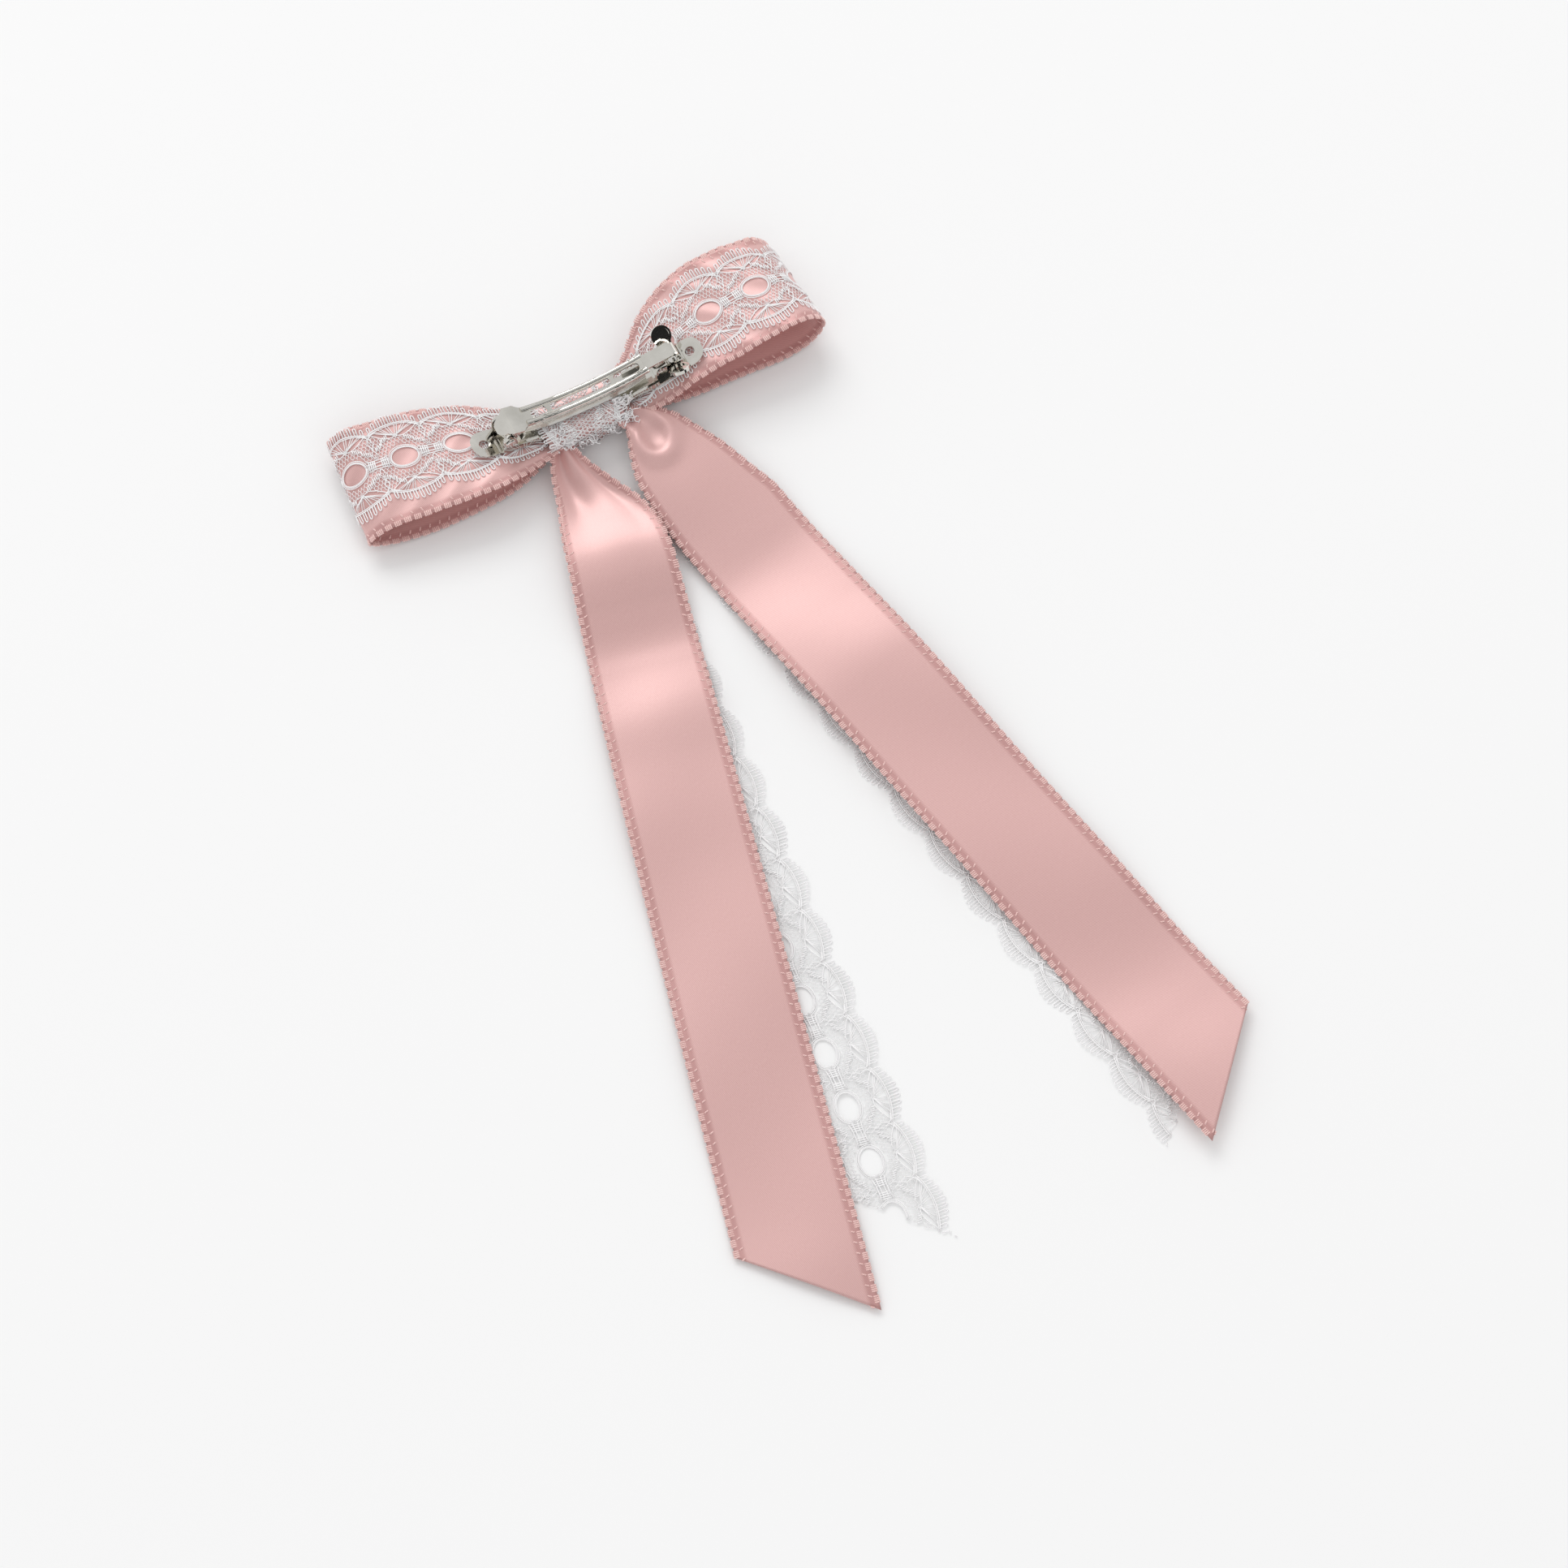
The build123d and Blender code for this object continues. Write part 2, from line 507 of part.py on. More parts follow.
def loop_path(side, height):
    """Middle of the satin of one loop, from the knot along the front, round and back."""
    seat = SATIN_THICK / 2 + LACE_THICK + 2 * CLOTH_GAP
    under_tab = arc_height(27.0, BASE_LOW, BASE_RADIUS) - seat - 0.15
    reach = LOOP_REACH - seat
    points = [(LOOP_ROOT_X, 2.25), (12.0, 1.5), (28.0, 1.05), (46.0, 1.05), (reach - 3.2, 2.4),
              (reach, height * 0.5), (reach - 4.0, height - 1.2), (reach - 12.0, height - 0.3),
              (27.0, under_tab), (20.0, under_tab - 1.95), (11.0, 5.75), (LOOP_ROOT_X, 4.6)]
    return Spline([(side * x, 0, z) for x, z in points])


def loop_outline(side, centre_y, inset):
    """Plan of a loop: full width at the end, gathered to the knot."""
    half = SATIN_WIDTH / 2 - inset
    squeeze = inset * 0.25
    low = [(LOOP_ROOT_X, LOOP_ROOT_LOW_Y + squeeze), (LOOP_NECK_X, LOOP_NECK_LOW_Y + squeeze),
           (26.0, centre_y - half * 0.96), (LOOP_FULL_X, centre_y - half), (LOOP_REACH + 1, centre_y - half)]
    high = [(LOOP_ROOT_X, LOOP_ROOT_HIGH_Y - squeeze), (LOOP_NECK_X, LOOP_NECK_HIGH_Y - squeeze),
            (28.0, centre_y + half * 0.66), (LOOP_FULL_X, centre_y + half * 0.96),
            (LOOP_REACH + 1, centre_y + half)]
    low = [(side * x, y) for x, y in low]
    high = [(side * x, y) for x, y in high]
    return make_face([Spline(low), Line(low[-1], high[-1]), Spline(high), Line(high[0], low[0])])


def loop_sheet(side, height, centre_y, inner, outer, inset):
    face = ribbon_face(loop_path(side, height), inner, outer)
    sheet = extrude(face, amount=SATIN_WIDTH, both=True)
    return sheet & column(loop_outline(side, centre_y, inset))


def loop_pair(name):
    """Satin loop, and the lace that covers its outer side."""
    loop = LOOP_SIDES[name]
    side = loop["side"]
    half = SATIN_THICK / 2
    lace_near = half + CLOTH_GAP
    satin = loop_sheet(side, loop["height"], loop["centre_y"], -half, half, 0.0)
    near = -side * lace_near
    far = -side * (lace_near + LACE_THICK)
    lace = loop_sheet(side, loop["height"], loop["centre_y"], near, far, LACE_INSET)
    return satin, lace


def tail_height_path(lift):
    """Height of a tail along its length: down from the knot, then gentle waves."""
    knots = [(0.0, TAIL_ROOT_Z), (12.0, TAIL_ROOT_Z - 0.7), (32.0, TAIL_REST_Z + 1.2)]
    for along in sorted(TAIL_CRESTS + TAIL_TROUGHS):
        wave = TAIL_WAVE if along in TAIL_CRESTS else 0.0
        knots.append((along, TAIL_REST_Z + wave))
    knots.append((TAIL_LONG_EDGE + 12.0, TAIL_REST_Z))
    return Spline([(along, 0, z + lift) for along, z in knots])


def lace_height_path():
    """The lace of a tail hangs under the satin and then lies flat on the floor."""
    floor_z = LACE_THICK / 2
    landing = (LACE_LANDS_AT, 0, floor_z)
    slope = Spline([(0.0, 0, TAIL_ROOT_Z - 0.85), (12.0, 0, TAIL_ROOT_Z - 1.6), (32.0, 0, 1.25), landing],
                   tangents=[(1, 0, -0.03), (1, 0, 0)])
    return slope, Line(landing, (TAIL_LONG_EDGE + 12.0, 0, floor_z))


def tail_frame(angle, side, axis_x):
    """Place of a tail's own axes: x runs down the tail, y points to +X."""
    return Pos(axis_x, 0, 0) * Rot(0, 0, -90 + side * angle)


def tail_outline(tail, angle, axis_x, width, short, long, inset):
    """Plan of a tail: narrow where it leaves the knot, full width, then cut at a slant."""
    side = tail["side"]
    frame = tail_frame(angle, side, axis_x)

    def spot(along, across):
        place = (frame * Pos(along, -side * across, 0)).position
        return (place.X, place.Y)

    neck_x, neck_y = tail["neck"]
    bulge_x, bulge_y = tail["inner_bulge"]
    half = width / 2
    narrow = TAIL_NECK_WIDTH / 2 - inset * 0.1
    outer_neck = (neck_x + side * narrow, neck_y - 2.0)
    inner_neck = (neck_x - side * narrow, neck_y - 2.0)
    outer_full, inner_full = spot(TAIL_FULL_AT, -half), spot(TAIL_FULL_AT, half)
    outer_half = ((outer_neck[0] + outer_full[0]) / 2 + side * (TAIL_SHOULDER - inset * 0.4),
                  (outer_neck[1] + outer_full[1]) / 2)
    inner_way = (bulge_x + side * inset, bulge_y)
    outer_end, inner_end = spot(short, -half), spot(long, half)
    outer_start = (outer_half[0] - outer_neck[0], outer_half[1] - outer_neck[1])
    inner_start = (inner_way[0] - inner_neck[0], inner_way[1] - inner_neck[1])
    outer_edge = Spline([outer_neck, outer_half, outer_full], tangents=[outer_start, edge_way(frame)])
    inner_edge = Spline([inner_neck, inner_way, inner_full], tangents=[inner_start, edge_way(frame)])
    root = [(outer_neck[0], neck_y + 1.2), (inner_neck[0], neck_y + 1.2)]
    return make_face([outer_edge, Line(outer_full, outer_end), Line(outer_end, inner_end),
                      Line(inner_end, inner_full), inner_edge, Line(inner_neck, root[1]),
                      Line(root[1], root[0]), Line(root[0], outer_neck)])


def edge_way(frame):
    """Direction down the tail, in plan."""
    ahead = (frame * Pos(1, 0, 0)).position - frame.position
    return (ahead.X, ahead.Y)


def tail_satin(name):
    tail = TAILS[name]
    face = ribbon_face(tail_height_path(0.0), -SATIN_THICK / 2, SATIN_THICK / 2)
    sheet = extrude(face, amount=SATIN_WIDTH * 1.5, both=True)
    frame = tail_frame(tail["satin_angle"], tail["side"], tail["satin_axis_x"])
    outline = tail_outline(tail, tail["satin_angle"], tail["satin_axis_x"], SATIN_WIDTH,
                           TAIL_SHORT_EDGE, TAIL_LONG_EDGE, 0.0)
    return (frame * sheet) & column(outline)


def tail_lace(name):
    tail = TAILS[name]
    half = LACE_THICK / 2
    sheet = None
    for path in lace_height_path():
        piece = extrude(ribbon_face(path, -half, half), amount=SATIN_WIDTH * 1.5, both=True)
        sheet = piece if sheet is None else sheet + piece
    frame = tail_frame(tail["lace_angle"], tail["side"], tail["lace_axis_x"])
    outline = tail_outline(tail, tail["lace_angle"], tail["lace_axis_x"], LACE_WIDTH,
                           tail["lace_short"], tail["lace_long"], LACE_INSET)
    return (frame * sheet) & column(outline)


def main():
    os.makedirs("parts", exist_ok=True)
    save(base_plate(), "base_plate")
    save(hinge_pin(), "hinge_pin")
    save(clasp_arm(), "clasp_arm")
    save(tension_strip(), "tension_strip")
    save(latch_bracket(), "latch_bracket")
    save(latch_catch_pin(), "latch_catch_pin")
    save(latch_rivet(), "latch_rivet")
    save(latch_lug(-1), "latch_lug_front")
    save(latch_lug(1), "latch_lug_rear")
    save(knot_satin_band(), "knot_satin_band")
    save(knot_lace_band(), "knot_lace_band")
    save(gather_thread(), "gather_thread")
    for name in ("left", "right"):
        satin, lace = loop_pair(name)
        save(satin, f"loop_satin_{name}")
        save(lace, f"loop_lace_{name}")
        save(tail_satin(name), f"tail_satin_{name}")
        save(tail_lace(name), f"tail_lace_{name}")


main()
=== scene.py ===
"""Ribbon bow hair barrette: nickel-plated barrette, satin ribbon with picot edges, and lace.

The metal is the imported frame's own.  Every ribbon and lace is a sheet made here, in millimetres,
and turned into metres when its mesh is made.  X runs along the barrette, +Y is away from the tails,
and +Z faces the head.
"""
import math
import random

import bpy
import numpy as np
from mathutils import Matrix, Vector


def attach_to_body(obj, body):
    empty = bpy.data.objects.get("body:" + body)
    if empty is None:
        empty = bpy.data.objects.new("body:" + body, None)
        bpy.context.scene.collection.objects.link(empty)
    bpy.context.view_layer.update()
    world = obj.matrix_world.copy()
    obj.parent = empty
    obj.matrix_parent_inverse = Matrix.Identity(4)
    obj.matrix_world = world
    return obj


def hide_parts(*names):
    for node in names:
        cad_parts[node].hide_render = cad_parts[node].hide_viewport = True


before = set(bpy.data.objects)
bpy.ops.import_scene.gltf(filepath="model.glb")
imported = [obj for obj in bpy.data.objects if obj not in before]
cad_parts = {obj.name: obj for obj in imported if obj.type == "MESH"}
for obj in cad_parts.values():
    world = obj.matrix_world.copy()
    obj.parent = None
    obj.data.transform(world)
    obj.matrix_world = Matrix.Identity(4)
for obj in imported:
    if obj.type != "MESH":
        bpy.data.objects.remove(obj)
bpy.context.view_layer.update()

MM = 0.001

# ------------------------------------------------------------------ cloth sizes, in mm
SATIN_HALF = 14.3            # half the ribbon's width, over its picots
SATIN_BODY_HALF = 13.95      # woven part, which the picots sit on
SATIN_THICK = 0.26
LACE_HALF = 12.0             # over the eyelash fringe
LACE_REPEAT = 13.4
PICOT_PITCH = 2.45
CLOTH_STEP = 0.9             # size of the sheet's faces
SHEET_COLUMNS = 31
GRID_COLUMNS = 73            # points across a ribbon while it is shaped
LACE_GRID_COLUMNS = 41
LOOP_STEP = 0.5
TAIL_STEP = 0.6
LACE_OFF_SATIN = 0.42        # height of the lace over the middle of its satin
LACE_PAST_EDGE = 2.6         # how far the lace may reach past the satin's edge

# ------------------------------------------------------------------ places, in mm, from the CAD
BASE_LOW = 6.8
BASE_RADIUS = 90.0
# Edges of each loop, as (distance out, y): beside the tails on its front and back layers, and away from them
LOOPS = {
    "left": {"side": -1, "reach": 61.2, "height": 9.8, "tilt": 0.8, "lace_shift": 2.4, "lace_phase": -0.6,
             "low_front": [(0.4, -4.0), (9, -5.0), (15, -6.6), (21, -9.0), (28, -10.3), (37, -10.6),
                           (46, -10.4), (54, -9.4), (62, -8.0)],
             "low_back": [(0.4, -4.6), (8, -5.6), (15, -8.3), (25, -11.0), (31, -11.2), (42, -10.1),
                          (53, -8.6), (62, -8.1)],
             "high": [(0.4, 3.4), (9, 4.2), (15, 5.8), (19, 8.2), (26, 11.8), (32, 14.4), (40, 17.0),
                      (46, 18.2), (62, 20.6)]},
    "right": {"side": 1, "reach": 60.2, "height": 13.6, "tilt": -0.8, "lace_shift": 0.0, "lace_phase": 10.0,
              "low_front": [(0.4, -3.6), (9, -4.4), (15, -5.2), (19, -6.0), (26, -6.8), (33, -6.9),
                            (41, -7.1), (48, -7.5), (55, -6.9), (62, -5.8)],
              "low_back": [(0.4, -4.6), (8, -6.2), (15, -7.8), (20, -7.7), (25, -7.2), (31, -6.9), (38, -7.0),
                           (46, -6.6), (54, -6.3), (62, -6.0)],
              "high": [(0.4, 3.4), (7, 5.0), (13, 8.5), (17, 12.5), (22, 16.6), (28, 19.5), (34, 21.3),
                       (40, 21.7), (46, 21.5), (51, 21.0), (62, 20.4)]},
}
LOOP_SKEW = 2.2              # how much shorter a loop is along its edge away from the tails
TAILS = {
    "left": {"side": -1, "satin_angle": 12.9, "satin_x": -2.2, "lace_angle": 5.2, "lace_x": -7.9,
             "lace_short": 196.0, "lace_long": 217.6, "lace_phase": 5.8, "pinch": {1: 2.2, -1: 1.0},
             "outer": [(-10, -3), (-13, -7), (-15, -11), (-17.5, -19), (-20.5, -27.5)],
             "inner": [(-6.5, -2.5), (-7.5, -5), (-6.5, -10.5), (-3, -18), (1, -26), (2.5, -33)]},
    "right": {"side": 1, "satin_angle": 12.1, "satin_x": 9.1, "lace_angle": 9.6, "lace_x": 8.8,
              "lace_short": 207.0, "lace_long": 220.9, "lace_phase": 3.0, "pinch": {1: 0.0, -1: 0.0},
              "outer": [(3.5, -2), (8, -4), (14, -6.5), (18, -10), (21.5, -15.5), (25, -21.5), (28.5, -29.5)],
              "inner": [(3, -5), (5.5, -8.5), (3.5, -15.5), (2, -21.5), (2, -27), (2.5, -34)]},
}
TAIL_HEIGHTS = {
    "left": [(0, 6.0), (12, 4.6), (22, 3.2), (30, 3.9), (38, 5.0), (43, 4.8), (52, 3.0), (60, 1.7), (66, 1.8),
             (79, 2.6), (90, 2.4), (103, 2.5), (120, 2.0), (160, 1.5), (200, 1.2), (215, 1.5), (240, 1.1)],
    "right": [(0, 6.0), (12, 5.5), (30, 4.0), (50, 1.7), (56, 1.6), (72, 2.9), (88, 4.1), (96, 4.1),
              (130, 3.0), (160, 2.0), (184, 1.3), (198, 2.2), (212, 3.4), (226, 4.3), (240, 5.0)],
}
TAIL_SHORT = 206.5           # cut end at the outer edge and at the inner edge, from the barrette's middle
TAIL_LONG = 226.0
TAIL_FULL_AT = 40.0
PINCH_FADE = 45.0            # a tail that starts narrow reaches its width over this length
TAIL_START = 7.0
RING_ALONG, RING_ACROSS = 19.5, -0.4   # the ring on the right tail, where its satin was pinched
RING_RADIUS = 4.4
RING_RISE = 1.15
SATIN_FLOOR = 0.62           # lowest middle of the satin, over its lace
LACE_FLOOR = 0.16
LACE_INSET = 1.2             # the lace is narrower than its satin by this near the knot
KNOT_Y = (-6.5, 5.3)
KNOT_TOP = 8.17
KNOT_CENTRE_X = -3.0
KNOT_SATIN_HALF = 9.8
KNOT_LACE_HALF = 10.8
KNOT_TURNS = 1.06            # the satin wrap laps over itself by this much
KNOT_ROWS = 150
TAB_X = 27.0                 # middle of a base plate tab
FLOOR_CLEAR = 0.25           # threads stay this far above the floor
SPRING_CLEAR_Y = 2.5         # no loose thread stands within this of the middle, under the tension strip
SPRING_CLEAR_Z = 0.26         # the lace under the strip lies this far below the top of the knot


# ================================================================== curves and sheets
def smooth_curve(points, count):
    """Rounded line through a few points, as evenly spaced points."""
    points = np.array(points, float)
    chord = np.r_[0, np.cumsum(np.linalg.norm(np.diff(points, axis=0), axis=1) ** 0.5)]
    slopes = np.gradient(points, chord, axis=0)
    fine = np.linspace(0, chord[-1], 1200)
    span = np.clip(np.searchsorted(chord, fine, side="right") - 1, 0, len(points) - 2)
    step = (chord[span + 1] - chord[span])[:, None]
    share = ((fine - chord[span])[:, None]) / step
    line = ((1 + 2 * share) * (1 - share) ** 2 * points[span]
            + share * (1 - share) ** 2 * step * slopes[span]
            + share ** 2 * (3 - 2 * share) * points[span + 1]
            + share ** 2 * (share - 1) * step * slopes[span + 1])
    length = np.r_[0, np.cumsum(np.linalg.norm(np.diff(line, axis=0), axis=1))]
    even = np.linspace(0, length[-1], count)
    return np.stack([np.interp(even, length, line[:, k]) for k in range(line.shape[1])], 1), length[-1]


def through(points, at):
    """Smooth value at given places, through (place, value) pairs."""
    line, _ = smooth_curve(points, 400)
    return np.interp(at, line[:, 0], line[:, 1])


def normals_of(grid):
    along = np.gradient(grid, axis=0)
    across = np.gradient(grid, axis=1)
    normal = np.cross(along, across)
    return normal / np.maximum(np.linalg.norm(normal, axis=2, keepdims=True), 1e-9)


class Cloth:
    """A strip of cloth: a grid of points, with the length and the half width it was cut to."""

    def __init__(self, grid, length, half, start=0.0):
        self.grid = grid
        self.length = length
        self.half = half
        self.start = start
        self.normals = normals_of(grid)

    def lifted(self, distance):
        """The same strip, moved off its own face."""
        return Cloth(self.grid + self.normals * distance, self.length, self.half, self.start)

    def at(self, along, across):
        """Points and normals at places on the flat strip."""
        rows, columns = self.grid.shape[:2]
        r = np.clip((np.asarray(along) - self.start) / self.length, 0, 1) * (rows - 1)
        c = np.clip((np.asarray(across) / self.half + 1) / 2, 0, 1) * (columns - 1)
        r0 = np.minimum(r.astype(int), rows - 2)
        c0 = np.minimum(c.astype(int), columns - 2)
        fr, fc = (r - r0)[:, None], (c - c0)[:, None]
        found = []
        for field in (self.grid, self.normals):
            low = field[r0, c0] * (1 - fc) + field[r0, c0 + 1] * fc
            high = field[r0 + 1, c0] * (1 - fc) + field[r0 + 1, c0 + 1] * fc
            found.append(low * (1 - fr) + high * fr)
        points, normals = found
        return points, normals / np.maximum(np.linalg.norm(normals, axis=1, keepdims=True), 1e-9)


def mesh_piece(name, points, faces, uvs, finish):
    """A smooth mesh object from points in mm; uvs holds one pair for each point."""
    mesh = bpy.data.meshes.new(name)
    mesh.from_pydata((np.asarray(points) * MM).tolist(), [], faces)
    corner_points = np.zeros(len(mesh.loops), np.int32)
    mesh.loops.foreach_get("vertex_index", corner_points)
    layer = mesh.uv_layers.new(name="cloth_mm")
    layer.data.foreach_set("uv", np.asarray(uvs, np.float32)[corner_points].ravel())
    mesh.polygons.foreach_set("use_smooth", np.full(len(mesh.polygons), True))
    mesh.materials.append(finish)
    mesh.update()
    piece = bpy.data.objects.new(name, mesh)
    bpy.context.scene.collection.objects.link(piece)
    return piece


def apply_modifiers(piece):
    bpy.ops.object.select_all(action="DESELECT")
    bpy.context.view_layer.objects.active = piece
    piece.select_set(True)
    for modifier in list(piece.modifiers):
        bpy.ops.object.modifier_apply(modifier=modifier.name)
    piece.select_set(False)


def woven_sheet(name, cloth, body_half, ends, finish, lean=1):
    """The woven part of a ribbon, with its real thickness.  ends(across) is where it is cut."""
    rows = int(cloth.length / CLOTH_STEP)
    across = np.linspace(-body_half, body_half, SHEET_COLUMNS)
    share = np.linspace(0, 1, rows)[:, None]
    last_fifth = np.clip((share - 0.8) / 0.2, 0, 1)
    past_cut = ends(across)[None, :] - cloth.start - cloth.length
    along = cloth.start + share * cloth.length + last_fifth * past_cut
    across = np.tile(across, rows)
    points, _ = cloth.at(along.ravel(), across)
    uvs = np.stack([along.ravel(), across * lean], 1)
    index = np.arange(rows * SHEET_COLUMNS).reshape(rows, SHEET_COLUMNS)
    faces = np.stack([index[:-1, :-1], index[1:, :-1], index[1:, 1:], index[:-1, 1:]], 2).reshape(-1, 4)
    piece = mesh_piece(name, points, faces.tolist(), uvs, finish)
    solid = piece.modifiers.new("thickness", "SOLIDIFY")
    solid.thickness = SATIN_THICK * MM
    solid.offset = 0.0
    apply_modifiers(piece)
    return piece


# ================================================================== threads
class Threads:
    """Collects tubes that follow lines, and makes one mesh of them."""

    def __init__(self, sides=4):
        self.sides = sides
        self.points, self.faces, self.uvs = [], [], []
        self.count = 0
        turn = np.arange(sides) * 2 * math.pi / sides
        self.ring_across, self.ring_up = np.cos(turn), np.sin(turn)

    def add(self, line, normals, width, flatness=0.75, closed=False):
        """A tube of that width along a line; it is a little flatter than wide."""
        rows = len(line)
        if rows < 2:
            return
        if closed:
            ahead = np.roll(line, -1, 0) - np.roll(line, 1, 0)
        else:
            ahead = np.gradient(line, axis=0)
        ahead /= np.maximum(np.linalg.norm(ahead, axis=1, keepdims=True), 1e-9)
        side = np.cross(ahead, normals)
        side /= np.maximum(np.linalg.norm(side, axis=1, keepdims=True), 1e-9)
        up = np.cross(side, ahead)
        half = width / 2
        rings = (line[:, None] + side[:, None] * (self.ring_across * half)[None, :, None]
                 + up[:, None] * (self.ring_up * half * flatness)[None, :, None])
        travelled = np.r_[0, np.cumsum(np.linalg.norm(np.diff(line, axis=0), axis=1))]
        round_it = np.arange(self.sides) / self.sides
        uv = np.stack([np.repeat(travelled, self.sides), np.tile(round_it, rows)], 1)
        index = np.arange(rows * self.sides).reshape(rows, self.sides) + self.count
        here, there = (index, np.roll(index, -1, 0)) if closed else (index[:-1], index[1:])
        quads = np.stack([here, np.roll(here, -1, 1), np.roll(there, -1, 1), there], 2).reshape(-1, 4)
        self.points.append(rings.reshape(-1, 3))
        self.uvs.append(uv)
        self.faces.extend(quads.tolist())
        if not closed:
            self.faces.append(index[0][::-1].tolist())
            self.faces.append(index[-1].tolist())
        self.count += rows * self.sides

    def piece(self, name, finish):
        return mesh_piece(name, np.concatenate(self.points), self.faces, np.concatenate(self.uvs), finish)


# ================================================================== lace pattern
SCALLOP_LOW = 7.9            # half width of the lace body between two scallops
SCALLOP_RISE = 1.6
NET_THREAD = 0.19
NET_COLUMNS = 14
NET_ROW_STEP = 0.88
NET_ROWS = 9                 # on each side of the middle
NET_RISE = 0.22              # half height of the zigzag
STAR_AT = 6.0
FAN_TIPS = (-4.9, -3.2, -1.2, 1.2, 3.2, 4.9)
BAR_BLOCKS = [(1.9, 4.3, -0.22), (-4.1, 4.6, 0.22), (3.9, 2.9, -0.22), (-5.9, 3.0, 0.22)]
LASH_PITCH = 1.44
LASH_TALL = 2.6
EYELET_RINGS = ((3.35, 2.5), (3.6, 2.75), (3.95, 3.1))
FINE, LIGHT, PLAIN, HEAVY = 0.24, 0.26, 0.30, 0.32   # thread widths


def scallop(p):
    """Edge of the lace body over one repeat, highest beside each eyelet."""
    return SCALLOP_LOW + SCALLOP_RISE * np.abs(np.cos(math.pi * np.asarray(p) / LACE_REPEAT)) ** 0.8


def net_limit(p):
    return 6.5 - 0.9 * math.cos(2 * math.pi * p / LACE_REPEAT)


def in_net(p, q, filled):
    """Whether the hexagon net covers this place of one repeat."""
    near = (p + LACE_REPEAT / 2) % LACE_REPEAT - LACE_REPEAT / 2
    if not filled and ((near / 4.3) ** 2 + (q / 3.5) ** 2 < 1 or (abs(near) > 3.6 and abs(q) < 1.35)):
        return False
    return abs(q) < net_limit(near)


def net_lines(filled):
    """Zigzag rows and short links of a hexagon net, over one repeat."""
    lines = []
    pitch = LACE_REPEAT / NET_COLUMNS
    for row in range(-NET_ROWS, NET_ROWS + 1):
        q_row = row * NET_ROW_STEP
        run = []
        for k in range(2 * NET_COLUMNS + 1):
            p = -LACE_REPEAT / 2 + k * pitch / 2
            flip = 1 if (k + row) % 2 == 0 else -1
            q = q_row + flip * NET_RISE
            if in_net(p, q, filled):
                run.append((p, q))
            else:
                if len(run) > 1:
                    lines.append(run)
                run = []
            if flip > 0:
                top = q_row + NET_ROW_STEP - NET_RISE
                if in_net(p, (q + top) / 2, filled) and k < 2 * NET_COLUMNS:
                    lines.append([(p, q), (p, top)])
        if len(run) > 1:
            lines.append(run)
    return [(line, NET_THREAD) for line in lines]


def ellipse(half_p, half_q, steps=24):
    turn = np.linspace(0, 2 * math.pi, steps, endpoint=False)
    return [(half_p * math.cos(a), half_q * math.sin(a)) for a in turn]


def half_pattern():
    """Threads of one repeat on the +q side, as (line, width)."""
    middle = LACE_REPEAT / 2
    edge = np.linspace(-middle, middle, 17)
    # scalloped border, doubled
    lines = [([(p, scallop(p)) for p in edge], HEAVY), ([(p, scallop(p) - 0.36) for p in edge], FINE)]
    # fan of paired threads from a small star to the border
    for tip in FAN_TIPS:
        for twin in (-0.22, 0.22):
            lines.append(([(twin * 0.5, STAR_AT), (tip * 0.5 + twin, 6.9 + 0.05 * abs(tip)),
                           (tip + twin * 1.6, scallop(tip + twin) - 0.4)], 0.2))
    for side in (-1, 1):
        lines.append(([(0, 5.9), (side * 1.8, 5.6), (side * 3.6, 6.3), (side * 5.2, 7.3),
                       (side * 6.3, 8.2)], LIGHT))
        lines.append(([(side * 4.4, 8.3), (side * 5.6, 7.9), (side * 6.7, 7.0)], LIGHT))
    lines.append(([(-0.5, 6.0), (0, 6.45), (0.5, 6.0), (0, 5.5), (-0.5, 6.0)], LIGHT))
    # two threads that twist round each other between the eyelets
    for sway in (-0.45, 0.45):
        lines.append(([(middle + sway * 0.3, 1.4), (middle + sway * 1.6, 2.8), (middle - sway * 0.5, 4.1),
                       (middle + sway * 1.5, 5.5), (middle + sway * 0.3, 6.9), (middle + sway * 1.6, 8.2)],
                      LIGHT))
    # solid blocks of short bars in the net
    for p_start, q_start, lean in BAR_BLOCKS:
        for bar in range(5):
            p = p_start + bar * 0.46
            q = q_start + lean * bar + 0.3
            lines.append(([(p, q), (p, q + 1.15)], PLAIN))
    # eyelash fringe, tallest at the middle of the scallop
    for lash in range(-4, 5):
        p = lash * LASH_PITCH
        low = float(scallop(p)) - 0.1
        tall = LASH_TALL - 0.09 * abs(lash) ** 1.6
        lines.append(([(p - 0.3, low), (p - 0.34, low + tall - 0.4), (p - 0.15, low + tall),
                       (p + 0.15, low + tall), (p + 0.34, low + tall - 0.4), (p + 0.3, low)], PLAIN))
    return lines


def lace_pattern(filled=False):
    """All threads of one repeat, centred on its eyelet; a filled one has net in place of the eyelet."""
    lines = net_lines(filled)
    for line, width in half_pattern():
        lines.append((line, width))
        lines.append(([(p, -q) for p, q in line], width))
    if filled:
        return [(np.array(line, float), width) for line, width in lines]
    for half_p, half_q in EYELET_RINGS:
        ring = ellipse(half_p, half_q)
        lines.append((ring + ring[:1], FINE))
    middle = LACE_REPEAT / 2
    for step in (-2.4, -1.9, -1.4, -0.9, 0.9, 1.4, 1.9, 2.4):
        lines.append(([(middle + step - 0.12, -1.15), (middle + step + 0.12, 1.15)], 0.36))
    for q in (-1.15, -0.5, 0.5, 1.15):
        lines.append(([(middle - 2.9, q * 1.25), (middle - 1.2, q), (middle + 1.2, q),
                       (middle + 2.9, q * 1.25)], PLAIN))
    return [(np.array(line, float), width) for line, width in lines]


